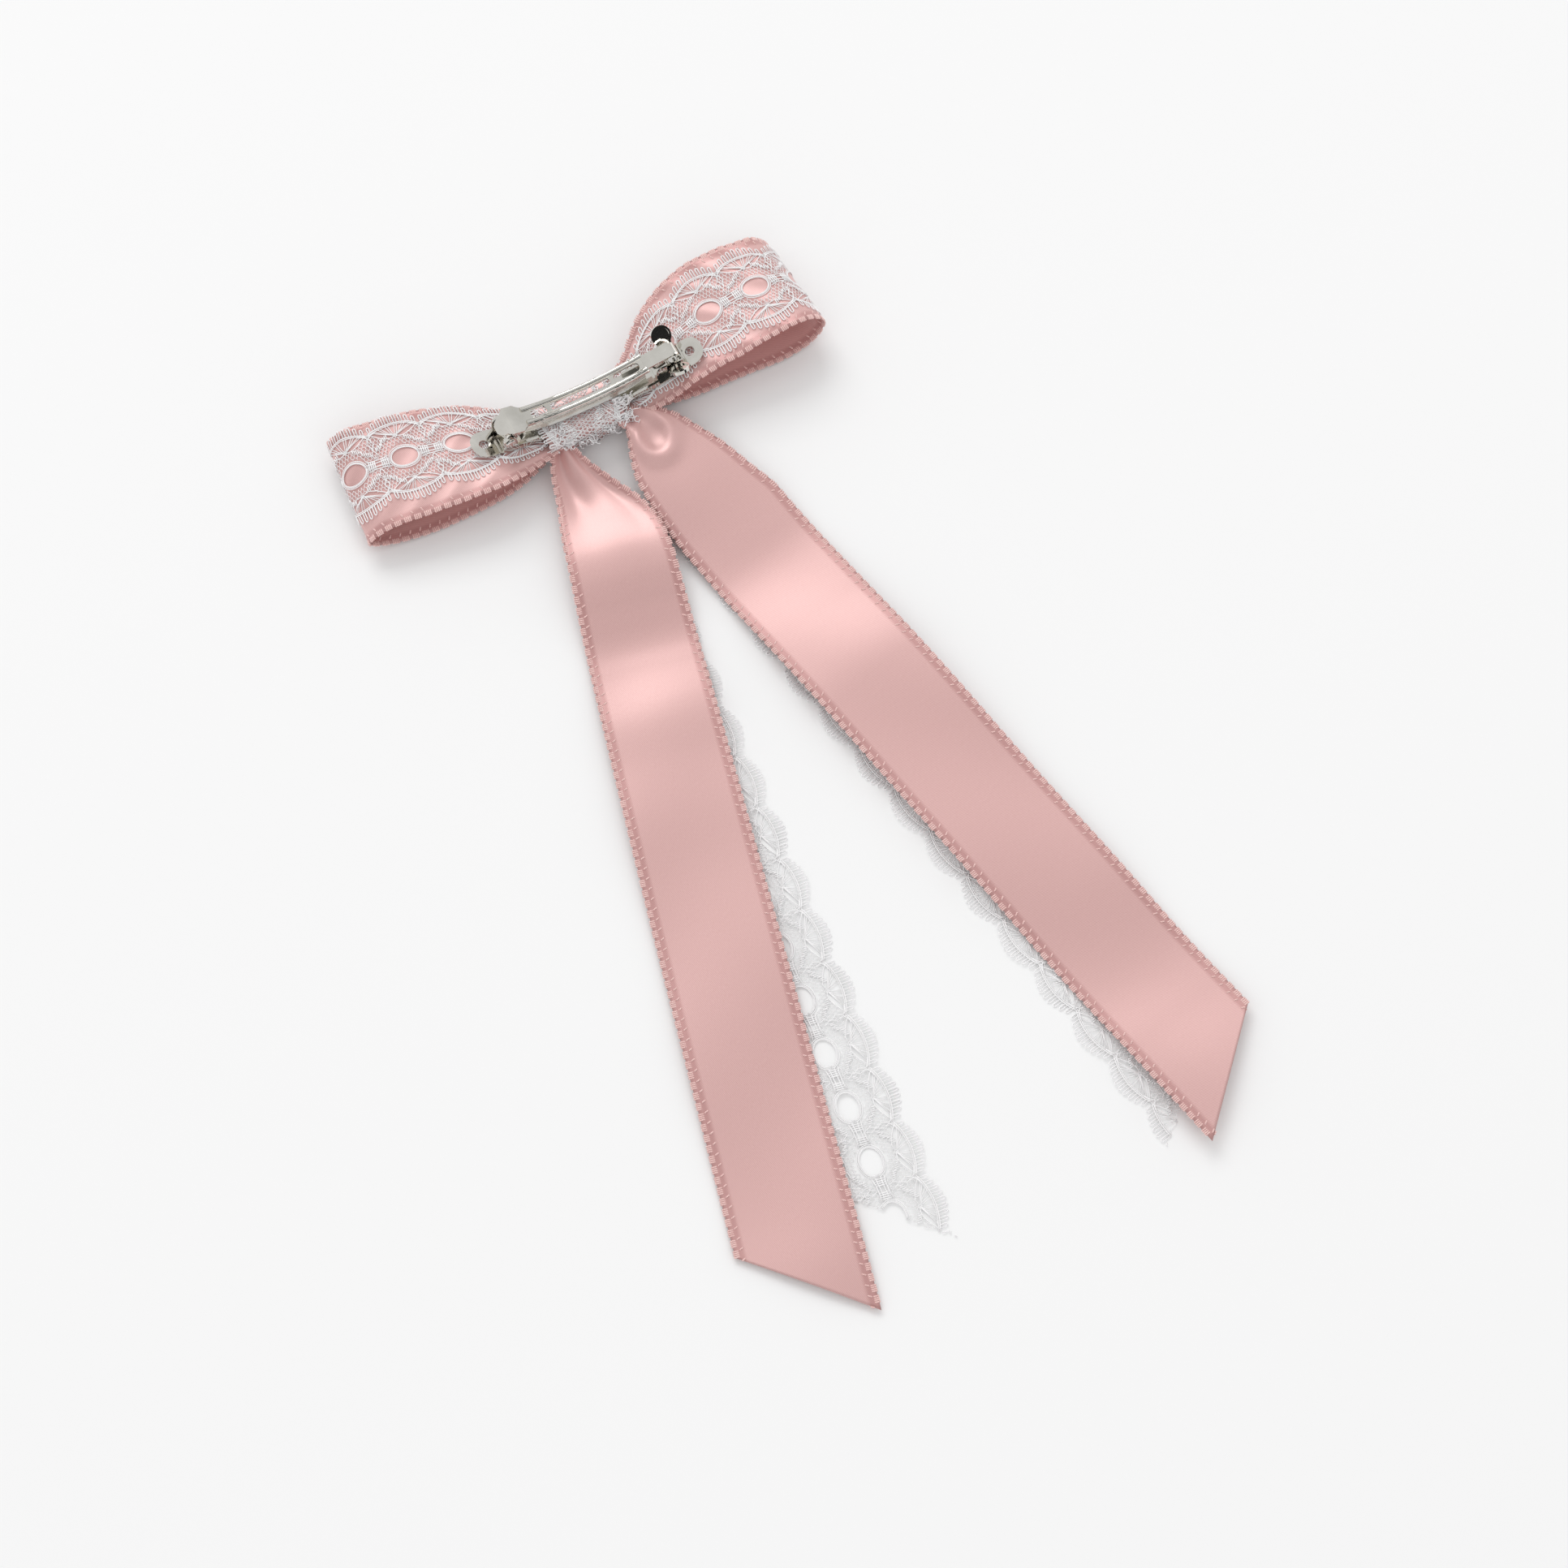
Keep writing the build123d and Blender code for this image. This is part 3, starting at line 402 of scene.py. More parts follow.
LACE_PATTERN = lace_pattern()
CRUMPLED_PATTERN = lace_pattern(filled=True)


def base_under(x):
    """Height of the base plate's underside."""
    return BASE_LOW + BASE_RADIUS - np.sqrt(BASE_RADIUS ** 2 - np.asarray(x) ** 2)


def under_spring(points):
    """Lace threads pressed flat where the tension strip comes down on the knot."""
    rise = base_under(points[:, 0]) - BASE_LOW
    below = (np.abs(points[:, 1]) < SPRING_CLEAR_Y) & (points[:, 2] > KNOT_TOP / 2)
    points[:, 2] = np.where(below, np.minimum(points[:, 2], KNOT_TOP - SPRING_CLEAR_Z + rise), points[:, 2])


def lace_strip(name, cloth, phase, finish, ends=None, crumple=0.0, seed=1):
    """Lace laid on a strip of cloth.  ends(across) is where the lace is cut."""
    threads = Threads(4)
    rng = random.Random(seed)
    first = int(math.floor((cloth.start - phase) / LACE_REPEAT)) - 1
    last = int(math.ceil((cloth.start + cloth.length - phase) / LACE_REPEAT)) + 1
    for repeat in range(first, last + 1):
        centre = phase + repeat * LACE_REPEAT
        for line, width in (CRUMPLED_PATTERN if crumple else LACE_PATTERN):
            along = line[:, 0] + centre
            across = line[:, 1] + 0.0
            if len(line) < 6 and abs(line[0, 1]) > 8.0:
                along = along + rng.uniform(-0.1, 0.1)
            limit = ends(across) if ends else np.full(len(along), cloth.start + cloth.length)
            keep = (along >= cloth.start) & (along <= limit)
            if keep.sum() < 2:
                continue
            along, across = along[keep], across[keep]
            points, normals = cloth.at(along, across)
            if crumple:
                wave = (np.sin(along * 1.9 + across * 0.7) + np.sin(along * 0.8 - across * 1.7)
                        + 0.6 * np.sin(along * 3.1 + across * 2.9))
                points = points + normals * (wave * crumple)[:, None]
                under_spring(points)
            points[:, 2] = np.maximum(points[:, 2], FLOOR_CLEAR)
            threads.add(points, normals, width)
    return threads.piece(name, finish)


# ================================================================== picot edges
def capsule(length, radius, sides=6):
    """Short rounded bar along x: points and faces."""
    ring_x = np.array([-0.5, -0.36, 0.36, 0.5]) * length
    ring_r = np.array([0.45, 1.0, 1.0, 0.45]) * radius
    turn = np.arange(sides) * 2 * math.pi / sides
    points = np.concatenate([np.stack([np.full(sides, x), r * np.cos(turn), r * np.sin(turn)], 1)
                             for x, r in zip(ring_x, ring_r)])
    faces = [[k + ring * sides, (k + 1) % sides + ring * sides, (k + 1) % sides + (ring + 1) * sides,
              k + (ring + 1) * sides] for ring in range(3) for k in range(sides)]
    faces = [face[::-1] for face in faces]
    faces.append(list(range(sides))[::-1])
    faces.append(list(range(3 * sides, 4 * sides)))
    faces = [face[::-1] for face in faces[-2:]] + faces[:-2]
    return points, faces


def picot_edges(name, cloth, ends, finish):
    """Rows of shiny thread blocks along both edges of a ribbon, with a staggered inner row."""
    bar, bar_faces = capsule(1.4, 0.24)
    hook, hook_faces = capsule(1.05, 0.2)
    points, faces, uvs = [], [], []
    count = 0

    def put(template, template_faces, along, across, turn, lift):
        nonlocal count
        spot, normal = cloth.at(np.array([along]), np.array([across]))
        ahead = cloth.at(np.array([along + 0.4]), np.array([across]))[0] - \
            cloth.at(np.array([along - 0.4]), np.array([across]))[0]
        size = np.linalg.norm(ahead)
        if size < 1e-4:
            return
        ahead, normal = ahead[0] / size, normal[0]
        side = np.cross(normal, ahead)
        cos_turn, sin_turn = math.cos(turn), math.sin(turn)
        x_way = side * cos_turn + ahead * sin_turn
        y_way = ahead * cos_turn - side * sin_turn
        placed = spot[0] + normal * lift + template[:, :1] * x_way + template[:, 1:2] * y_way \
            + template[:, 2:] * normal
        points.append(placed)
        uvs.append(np.stack([template[:, 0] + along, template[:, 1] + across], 1))
        faces.extend([[k + count for k in face] for face in template_faces])
        count += len(template)

    for edge in (-1, 1):
        across = edge * (SATIN_HALF - 0.72)
        limit = float(ends(np.array([across]))[0])
        along = cloth.start + 0.6
        while along < limit - 0.9:
            for k in range(4):
                put(bar, bar_faces, along + (k - 1.5) * 0.44, across, 0.0, 0.0)
            inner = edge * (SATIN_HALF - 2.05)
            for layer in (-0.1, 0.1):
                put(hook, hook_faces, along + PICOT_PITCH / 2 + 3 * layer, inner, 0.45 * edge,
                    0.12 * np.sign(layer))
            along += PICOT_PITCH
    return mesh_piece(name, np.concatenate(points), faces, np.concatenate(uvs), finish)


# ================================================================== finishes
def new_finish(name):
    finish = bpy.data.materials.new(name)
    finish.use_nodes = True
    return finish, finish.node_tree.nodes, finish.node_tree.links, finish.node_tree.nodes["Principled BSDF"]


def ramp(nodes, stops):
    node = nodes.new("ShaderNodeValToRGB")
    elements = node.color_ramp.elements
    while len(elements) < len(stops):
        elements.new(0.5)
    for element, (place, colour) in zip(elements, stops):
        element.position = place
        element.color = (*colour, 1.0)
    return node


PICOT_SHADE_FROM, PICOT_SHADE_TO = 11.3, 12.2   # painted shade: the satin is darkened beside and under its picots, between these distances in mm from its middle
PICOT_PAINTED_SHADE = (0.8, 0.704, 0.704, 1)


def satin_finish(name, dark, light, line_angle):
    """Satin weave: fine slanted float lines, shiny across them, and painted shade under the picots."""
    finish, nodes, links, shader = new_finish(name)
    place = nodes.new("ShaderNodeUVMap")
    place.uv_map = "cloth_mm"
    turned = nodes.new("ShaderNodeMapping")
    turned.inputs["Rotation"].default_value = (0, 0, line_angle)
    links.new(place.outputs["UV"], turned.inputs["Vector"])
    floats = nodes.new("ShaderNodeTexWave")
    floats.wave_type = "BANDS"
    floats.bands_direction = "Y"
    floats.inputs["Scale"].default_value = 0.9
    floats.inputs["Distortion"].default_value = 0.9
    floats.inputs["Detail"].default_value = 1.0
    floats.inputs["Detail Scale"].default_value = 2.0
    links.new(turned.outputs["Vector"], floats.inputs["Vector"])
    stretch = nodes.new("ShaderNodeMapping")
    stretch.inputs["Scale"].default_value = (0.8, 5.0, 1.0)
    links.new(turned.outputs["Vector"], stretch.inputs["Vector"])
    yarn = nodes.new("ShaderNodeTexNoise")
    yarn.inputs["Scale"].default_value = 1.6
    yarn.inputs["Detail"].default_value = 3.0
    links.new(stretch.outputs["Vector"], yarn.inputs["Vector"])
    mixed = nodes.new("ShaderNodeMix")
    mixed.inputs["Factor"].default_value = 0.55
    links.new(floats.outputs["Fac"], mixed.inputs["A"])
    links.new(yarn.outputs["Fac"], mixed.inputs["B"])
    colour = ramp(nodes, [(0.2, dark), (0.75, light)])
    links.new(mixed.outputs["Result"], colour.inputs["Fac"])
    apart = nodes.new("ShaderNodeSeparateXYZ")
    links.new(place.outputs["UV"], apart.inputs["Vector"])
    distance = nodes.new("ShaderNodeMath")
    distance.operation = "ABSOLUTE"
    links.new(apart.outputs["Y"], distance.inputs[0])
    # band of painted shade under the picots, at full strength from here out to the edge
    edge = nodes.new("ShaderNodeMapRange")
    edge.inputs["From Min"].default_value = PICOT_SHADE_FROM
    edge.inputs["From Max"].default_value = PICOT_SHADE_TO
    links.new(distance.outputs["Value"], edge.inputs["Value"])
    shaded = nodes.new("ShaderNodeMix")
    shaded.data_type = "RGBA"
    shaded.blend_type = "MULTIPLY"
    for socket in shaded.inputs:
        if socket.name == "B" and socket.type == "RGBA":
            socket.default_value = PICOT_PAINTED_SHADE
    colour_in = [s for s in shaded.inputs if s.name == "A" and s.type == "RGBA"][0]
    colour_out = [s for s in shaded.outputs if s.type == "RGBA"][0]
    links.new(edge.outputs["Result"], shaded.inputs["Factor"])
    links.new(colour.outputs["Color"], colour_in)
    links.new(colour_out, shader.inputs["Base Color"])
    bump = nodes.new("ShaderNodeBump")
    bump.inputs["Strength"].default_value = 0.16
    bump.inputs["Distance"].default_value = 0.00006
    links.new(mixed.outputs["Result"], bump.inputs["Height"])
    links.new(bump.outputs["Normal"], shader.inputs["Normal"])
    shader.inputs["Roughness"].default_value = 0.36
    shader.inputs["Metallic"].default_value = 0.28
    shader.inputs["Specular IOR Level"].default_value = 0.8
    shader.inputs["Sheen Weight"].default_value = 0.25
    shader.inputs["Sheen Roughness"].default_value = 0.35
    shader.inputs["Sheen Tint"].default_value = (1.0, 0.85, 0.85, 1.0)
    return finish


def thread_finish(name, dark, light, roughness, twist, on_cad_node=False):
    """Twisted thread: slanting plies along each thread, with painted shade in the grooves."""
    finish, nodes, links, shader = new_finish(name)
    if on_cad_node:
        spot = nodes.new("ShaderNodeTexCoord").outputs["Object"]
    else:
        place = nodes.new("ShaderNodeUVMap")
        place.uv_map = "cloth_mm"
        spot = place.outputs["UV"]
    plies = nodes.new("ShaderNodeTexWave")
    plies.wave_type = "BANDS"
    plies.bands_direction = "DIAGONAL"
    plies.inputs["Scale"].default_value = twist
    plies.inputs["Distortion"].default_value = 1.2
    plies.inputs["Detail"].default_value = 1.0
    links.new(spot, plies.inputs["Vector"])
    fuzz = nodes.new("ShaderNodeTexNoise")
    fuzz.inputs["Scale"].default_value = 0.9
    fuzz.inputs["Detail"].default_value = 2.0
    links.new(spot, fuzz.inputs["Vector"])
    mixed = nodes.new("ShaderNodeMix")
    mixed.inputs["Factor"].default_value = 0.5
    links.new(plies.outputs["Fac"], mixed.inputs["A"])
    links.new(fuzz.outputs["Fac"], mixed.inputs["B"])
    # the dark colour is painted shade in the grooves between the plies
    colour = ramp(nodes, [(0.15, dark), (0.7, light)])
    links.new(mixed.outputs["Result"], colour.inputs["Fac"])
    links.new(colour.outputs["Color"], shader.inputs["Base Color"])
    bump = nodes.new("ShaderNodeBump")
    bump.inputs["Strength"].default_value = 0.4
    bump.inputs["Distance"].default_value = 0.00005
    links.new(mixed.outputs["Result"], bump.inputs["Height"])
    links.new(bump.outputs["Normal"], shader.inputs["Normal"])
    shader.inputs["Roughness"].default_value = roughness
    shader.inputs["Sheen Weight"].default_value = 0.2
    return finish


def nickel_finish(name, colour_low, colour_high, roughness_low, roughness_high):
    """Bright nickel plating: faint clouding, fine polishing lines and soft wear."""
    finish, nodes, links, shader = new_finish(name)
    place = nodes.new("ShaderNodeTexCoord")
    cloud = nodes.new("ShaderNodeTexNoise")
    cloud.inputs["Scale"].default_value = 220.0
    cloud.inputs["Detail"].default_value = 3.0
    links.new(place.outputs["Object"], cloud.inputs["Vector"])
    tone = ramp(nodes, [(0.3, colour_low), (0.7, colour_high)])
    links.new(cloud.outputs["Fac"], tone.inputs["Fac"])
    links.new(tone.outputs["Color"], shader.inputs["Base Color"])
    drawn = nodes.new("ShaderNodeMapping")
    drawn.inputs["Scale"].default_value = (120.0, 2600.0, 2600.0)
    links.new(place.outputs["Object"], drawn.inputs["Vector"])
    lines = nodes.new("ShaderNodeTexNoise")
    lines.inputs["Scale"].default_value = 1.0
    lines.inputs["Detail"].default_value = 2.0
    links.new(drawn.outputs["Vector"], lines.inputs["Vector"])
    rough = nodes.new("ShaderNodeMapRange")
    rough.inputs["To Min"].default_value = roughness_low
    rough.inputs["To Max"].default_value = roughness_high
    links.new(cloud.outputs["Fac"], rough.inputs["Value"])
    links.new(rough.outputs["Result"], shader.inputs["Roughness"])
    bump = nodes.new("ShaderNodeBump")
    bump.inputs["Strength"].default_value = 0.06
    bump.inputs["Distance"].default_value = 0.00002
    links.new(lines.outputs["Fac"], bump.inputs["Height"])
    links.new(bump.outputs["Normal"], shader.inputs["Normal"])
    shader.inputs["Metallic"].default_value = 1.0
    return finish


SATIN_DARK = (0.66, 0.37, 0.35)
SATIN_LIGHT = (0.78, 0.50, 0.48)
FLOAT_ANGLE = 26             # slant of the satin's float lines to the ribbon
satin = satin_finish("pink_satin_weave", SATIN_DARK, SATIN_LIGHT, math.radians(FLOAT_ANGLE))
# picot thread: its light colour is a painted highlight and its dark colour painted groove shade
picot = thread_finish("pink_picot_thread", (0.62, 0.31, 0.29), (0.92, 0.66, 0.62), 0.3, 1.4)
lace_white = thread_finish("white_lace_thread", (0.93, 0.92, 0.925), (1.0, 0.99, 0.995), 0.55, 1.2)
sewing = thread_finish("pink_sewing_thread", (0.55, 0.28, 0.27), (0.75, 0.45, 0.43), 0.6, 900.0,
                       on_cad_node=True)
nickel = nickel_finish("bright_nickel_plate", (0.68, 0.66, 0.61), (0.80, 0.78, 0.73), 0.04, 0.10)
nickel_pin = nickel_finish("polished_nickel_pin", (0.70, 0.68, 0.64), (0.84, 0.82, 0.78), 0.05, 0.10)
spring = nickel_finish("spring_steel_plate", (0.62, 0.61, 0.58), (0.78, 0.77, 0.74), 0.10, 0.2)

METAL = {"base_plate": nickel, "clasp_arm": nickel, "latch_bracket": nickel, "latch_lug_front": nickel,
         "latch_lug_rear": nickel, "hinge_pin": nickel_pin, "latch_catch_pin": nickel_pin,
         "latch_rivet": nickel_pin, "tension_strip": spring, "gather_thread": sewing}
for node_name, finish in METAL.items():
    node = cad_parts[node_name]
    node.data.materials.clear()
    node.data.materials.append(finish)


# ================================================================== loops
def loop_cloth(loop):
    """One loop of satin: out along the front, round the end and back under the base plate."""
    side, height, reach = loop["side"], loop["height"], loop["reach"]
    under_tab = float(base_under(TAB_X)) - 0.77
    path = [(0.4, 2.6), (12.0, 2.4), (26.0, 1.7), (44.0, 1.05), (reach - 3.2, 2.4), (reach, height * 0.5),
            (reach - 4.0, height - 1.2), (reach - 12.0, height - 0.3), (TAB_X, under_tab),
            (20.0, under_tab - 1.95), (11.0, 5.75), (0.4, 4.6)]
    _, length = smooth_curve(path, 10)
    rows = int(length / LOOP_STEP)
    line, length = smooth_curve(path, rows)
    x, z = line[:, 0], line[:, 1]
    ahead = np.gradient(line, axis=0)
    ahead /= np.linalg.norm(ahead, axis=1, keepdims=True)
    inward = np.stack([-ahead[:, 1], ahead[:, 0]], 1)
    risen = np.clip((z - height * 0.3) / (height * 0.3), 0, 1)
    turned_up = np.where(x < 40, np.arange(rows) > rows / 2, risen)
    half = SATIN_HALF
    low = through(loop["low_front"], x) * (1 - turned_up) + through(loop["low_back"], x) * turned_up
    high = through(loop["high"], x)
    t = np.linspace(-1, 1, GRID_COLUMNS)[None, :]
    y = (low + high)[:, None] / 2 + t * (high - low)[:, None] / 2
    gather = np.clip(1 - (high - low) / (2 * half), 0, 1)[:, None]
    back = turned_up[:, None]
    sway = side * 0.8 + back * 1.3
    pleat = 0.5 + 0.5 * np.sin(2 * math.pi * (2.6 * t + sway) + 0.05 * x[:, None])
    depth = 1.25 * gather ** 1.1 * pleat * (1 - t ** 4)
    soft = 0.28 * np.sin(2 * math.pi * (0.9 * t + 0.13 * x[:, None] / 2.3 + side)) * (1 - gather) * back
    offset = depth + np.abs(soft)
    outer_part = np.clip((x[:, None] - 34) / 24, 0, 1)
    grid = np.zeros((rows, GRID_COLUMNS, 3))
    grid[:, :, 0] = side * (x[:, None] + inward[:, :1] * offset - LOOP_SKEW * outer_part * (t + 1) / 2)
    grid[:, :, 1] = y
    grid[:, :, 2] = z[:, None] + inward[:, 1:] * offset + loop["tilt"] * t * outer_part * back
    return Cloth(grid, length, half)


def wider(cloth, extra):
    """The same strip carried on straight past both edges."""
    pitch = 2 * cloth.half / (cloth.grid.shape[1] - 1)
    steps = np.arange(1, int(extra / pitch) + 1)[None, :, None]
    first, last = cloth.grid[:, :1], cloth.grid[:, -1:]
    before = (first + (first - cloth.grid[:, 1:2]) * steps)[:, ::-1]
    after = last + (last - cloth.grid[:, -2:-1]) * steps
    return Cloth(np.concatenate([before, cloth.grid, after], 1), cloth.length,
                 cloth.half + pitch * steps.size, cloth.start)


def make_loop(name):
    loop = LOOPS[name]
    cloth = loop_cloth(loop)
    whole = lambda across: np.full(len(across), cloth.length)
    body = woven_sheet(f"satin_loop_{name}", cloth, SATIN_BODY_HALF, whole, satin, loop["side"])
    trim = picot_edges(f"satin_loop_{name}_picots", cloth, whole, picot)
    rows, columns = cloth.grid.shape[:2]
    outward = 1 if cloth.normals[rows * 3 // 4, columns // 2, 2] > 0 else -1
    over = wider(cloth.lifted(outward * LACE_OFF_SATIN), LACE_PAST_EDGE)
    across = np.linspace(-LACE_HALF, LACE_HALF, columns) + loop["lace_shift"]
    points, _ = over.at(np.repeat(np.linspace(0, over.length, rows), columns), np.tile(across, rows))
    lace_cloth = Cloth(points.reshape(rows, columns, 3), over.length, LACE_HALF)
    lace = lace_strip(f"lace_loop_{name}", lace_cloth, loop["lace_phase"], lace_white,
                      seed=3 if name == "left" else 4)
    return cloth, body, trim, lace


# ================================================================== tails
def tail_axes(angle, side, axis_x):
    turn = math.radians(-90 + side * angle)
    down = np.array([math.cos(turn), math.sin(turn)])
    outward = side * np.array([-down[1], down[0]])
    return np.array([axis_x, 0.0]), down, outward


def tail_plan(tail, angle, axis_x, half, longest, inset):
    """Outer and inner edge of a tail in plan, evenly along it, from the knot to its longest tip."""
    start, down, outward = tail_axes(angle, tail["side"], axis_x)
    straight_from = TAIL_FULL_AT + 8
    straight = np.linspace(straight_from, longest, int(longest - straight_from))[1:]
    along = np.concatenate([np.linspace(TAIL_START, straight_from, 60), straight])
    edges = []
    for edge, side_name in ((1, "outer"), (-1, "inner")):
        pinch = 0.0 if inset else tail["pinch"][edge]

        def at_edge(distance):
            spread = half - pinch * math.exp(-(distance - TAIL_FULL_AT) / PINCH_FADE)
            return start + down * distance + outward * edge * spread

        near = [np.array(spot) + np.array([-edge * tail["side"] * inset, 0.0]) for spot in tail[side_name]]
        if inset:
            near = near[:-2]
        far = [at_edge(TAIL_FULL_AT), at_edge(TAIL_FULL_AT + 4), at_edge(straight_from)]
        fan, _ = smooth_curve(near + far, 60)
        edges.append(np.concatenate([fan, [at_edge(d) for d in straight]]))
    return along, edges


def between(outer, inner, t):
    """Plan points across a tail; t runs from -1 at the outer edge to 1 at the inner."""
    share = ((t + 1) / 2)[..., None]
    return outer[:, None] * (1 - share) + inner[:, None] * share


def hump(distance, reach):
    """1 at no distance, dying away smoothly over the reach."""
    return np.exp(-(distance / reach) ** 2)


def tail_cloth(name):
    """Satin tail: gathered at the knot, then soft waves down to its slanted end."""
    tail = TAILS[name]
    half = SATIN_HALF
    along, (outer, inner) = tail_plan(tail, tail["satin_angle"], tail["satin_x"], half, TAIL_LONG, 0.0)
    t = np.linspace(-1, 1, GRID_COLUMNS)[None, :]
    flat = between(outer, inner, t)
    u = along[:, None]
    height = through(TAIL_HEIGHTS[name], along)[:, None]
    width = np.linalg.norm(outer - inner, axis=1)[:, None]
    gather = np.clip(1 - width / (2 * half), 0, 1)
    z = height + t * 0
    if name == "left":
        # a trough beside the outer edge, gathers, a slanting swell, and the inner edge curled up
        valley = -0.9 * hump(u - 20, 10) * hump(t + 0.4, 0.4)
        fold = 0.7 * gather * np.sin(math.pi * (1.6 * t + 0.2))
        diagonal = 0.5 * hump(u - 34 - 6 * t, 9)
        curl = 6.4 * hump(u - 20, 12) * np.clip(t - 0.6, 0, 1) ** 1.3
        z = z + valley + fold + diagonal + curl
    else:
        # a raised ring round a dimple, open toward the knot, on a low dome
        across = t * width / 2
        distance = np.sqrt((u - RING_ALONG) ** 2 + (across - RING_ACROSS) ** 2)
        ring = RING_RISE * hump(distance - RING_RADIUS, 1.9)
        open_side = 1 - 0.8 * hump(u - 14.5, 3.2) * hump(across + 2.6, 3.0)
        fold = 0.8 * gather * np.sin(math.pi * (1.3 * t - 0.35))
        dome = 0.9 * hump(u - 27, 12) * (1 - t ** 2)
        z = z + ring * open_side * (1 - t ** 6) + fold + dome
    slant = 0.35 * np.sin(2 * math.pi * (u / 67 + 0.22 * t)) * np.clip((u - 45) / 30, 0, 1)
    z = z + slant + 0.12 * t ** 2 * np.sin(u / 7.5 + t)
    z = np.maximum(z, SATIN_FLOOR)
    grid = np.zeros((len(along), GRID_COLUMNS, 3))
    grid[:, :, :2] = flat
    grid[:, :, 2] = z
    return Cloth(grid_even(grid, along), along[-1] - along[0], half, along[0])


def tail_lace_cloth(name):
    tail = TAILS[name]
    longest = max(tail["lace_long"], tail["lace_short"]) + 2
    along, (outer, inner) = tail_plan(tail, tail["lace_angle"], tail["lace_x"], LACE_HALF, longest,
                                      LACE_INSET)
    t = np.linspace(-1, 1, LACE_GRID_COLUMNS)[None, :]
    flat = between(outer, inner, t)
    height = through([(0, 3.6), (12, 1.7), (24, 0.9), (36, 0.7), (90, 0.5), (240, 0.5)], along)[:, None]
    ripple = 0.2 * np.sin(along[:, None] / 5.3 + 2.2 * t) + 0.06 * np.sin(along[:, None] / 2.1)
    grid = np.zeros((len(along), LACE_GRID_COLUMNS, 3))
    grid[:, :, :2] = flat
    grid[:, :, 2] = np.maximum(height + ripple, LACE_FLOOR)
    return Cloth(grid_even(grid, along), along[-1] - along[0], LACE_HALF, along[0])


def grid_even(grid, along):
    """The same grid with its rows evenly spaced."""
    even = np.linspace(along[0], along[-1], int((along[-1] - along[0]) / TAIL_STEP))
    columns = grid.shape[1]
    spread = np.stack([[np.interp(even, along, grid[:, c, k]) for c in range(columns)] for k in range(3)])
    return np.transpose(spread, (2, 1, 0))


def make_tail(name):
    tail = TAILS[name]
    cloth = tail_cloth(name)
    cut = lambda across: TAIL_SHORT + (TAIL_LONG - TAIL_SHORT) * (np.asarray(across) / SATIN_HALF + 1) / 2
    body = woven_sheet(f"satin_tail_{name}", cloth, SATIN_BODY_HALF, cut, satin, tail["side"])
    trim = picot_edges(f"satin_tail_{name}_picots", cloth, cut, picot)
    lace_cloth = tail_lace_cloth(name)
    short, long = tail["lace_short"], tail["lace_long"]
    lace_cut = lambda across: short + (long - short) * (np.asarray(across) / LACE_HALF + 1) / 2
    lace = lace_strip(f"lace_tail_{name}", lace_cloth, tail["lace_phase"], lace_white, ends=lace_cut,
                      seed=5 if name == "left" else 6)
    return cloth, body, trim, lace_cloth, lace


# ================================================================== knot
def band_cloth(inset, half_x, turns=1.0, spiral=0.0, pleats=0.0):
    """Band round the knot: along is the way round, across is along the barrette."""
    rows, columns = KNOT_ROWS, LACE_GRID_COLUMNS
    low_y, high_y = KNOT_Y[0] + inset, KNOT_Y[1] - inset
    low_z, high_z = inset, KNOT_TOP - inset
    corner = 1.9 - min(inset, 1.2)
    centre_y, centre_z = (low_y + high_y) / 2, (low_z + high_z) / 2
    outline = []
    for cy, cz, a0 in ((high_y - corner, high_z - corner, 0), (low_y + corner, high_z - corner, 90),
                       (low_y + corner, low_z + corner, 180), (high_y - corner, low_z + corner, 270)):
        for a in np.linspace(a0, a0 + 90, 7):
            outline.append((cy + corner * math.cos(math.radians(a)), cz + corner * math.sin(math.radians(a))))
    outline = np.array(outline + outline[:1])
    length = np.r_[0, np.cumsum(np.linalg.norm(np.diff(outline, axis=0), axis=1))]
    total = length[-1]
    start = total * 0.06
    along = start + np.linspace(0, total * turns, rows)
    y = np.interp(along % total, length, outline[:, 0])
    z = np.interp(along % total, length, outline[:, 1])
    out = np.stack([y - centre_y, (z - centre_z) * 1.6], 1)
    out /= np.linalg.norm(out, axis=1, keepdims=True)
    x = KNOT_CENTRE_X + np.linspace(-half_x, half_x, columns)
    rise = base_under(x) - BASE_LOW
    lift = np.clip(z / KNOT_TOP, 0, 1)[:, None] * rise[None, :]
    grid = np.zeros((rows, columns, 3))
    grow = spiral * np.linspace(0, 1, rows)[:, None]
    crease = pleats * (np.sin(x[None, :] * 1.7 + 0.12 * along[:, None])
                       + 0.6 * np.sin(x[None, :] * 3.1 - 0.2 * along[:, None]))
    free = np.clip((centre_y + 1.2 - y) / 3.0, 0, 1)[:, None]
    seam = -0.45 * np.exp(-((y - KNOT_Y[0] - 1.7) / 0.35) ** 2) * (z > KNOT_TOP / 2)
    push = grow + crease * free + seam[:, None]
    grid[:, :, 0] = x[None, :]
    grid[:, :, 1] = y[:, None] + out[:, :1] * push
    grid[:, :, 2] = np.maximum(z[:, None] + lift + out[:, 1:] * push, 0.12)
    return Cloth(grid, total * turns, half_x, 0.0)


def make_knot():
    satin_cloth = band_cloth(0.52, KNOT_SATIN_HALF, turns=KNOT_TURNS, spiral=0.3, pleats=0.14)
    whole = lambda across: np.full(len(across), satin_cloth.length)
    body = woven_sheet("satin_knot_wrap", satin_cloth, KNOT_SATIN_HALF, whole, satin)
    lace_cloth = band_cloth(0.12, KNOT_LACE_HALF, pleats=0.1)
    lace = lace_strip("lace_knot_wrap", lace_cloth, 3.0, lace_white, crumple=0.1, seed=8)
    second = lace_strip("lace_knot_fold", lace_cloth.lifted(0.12), 4.6, lace_white, crumple=0.16, seed=9)
    return body, lace, second, satin_cloth, lace_cloth


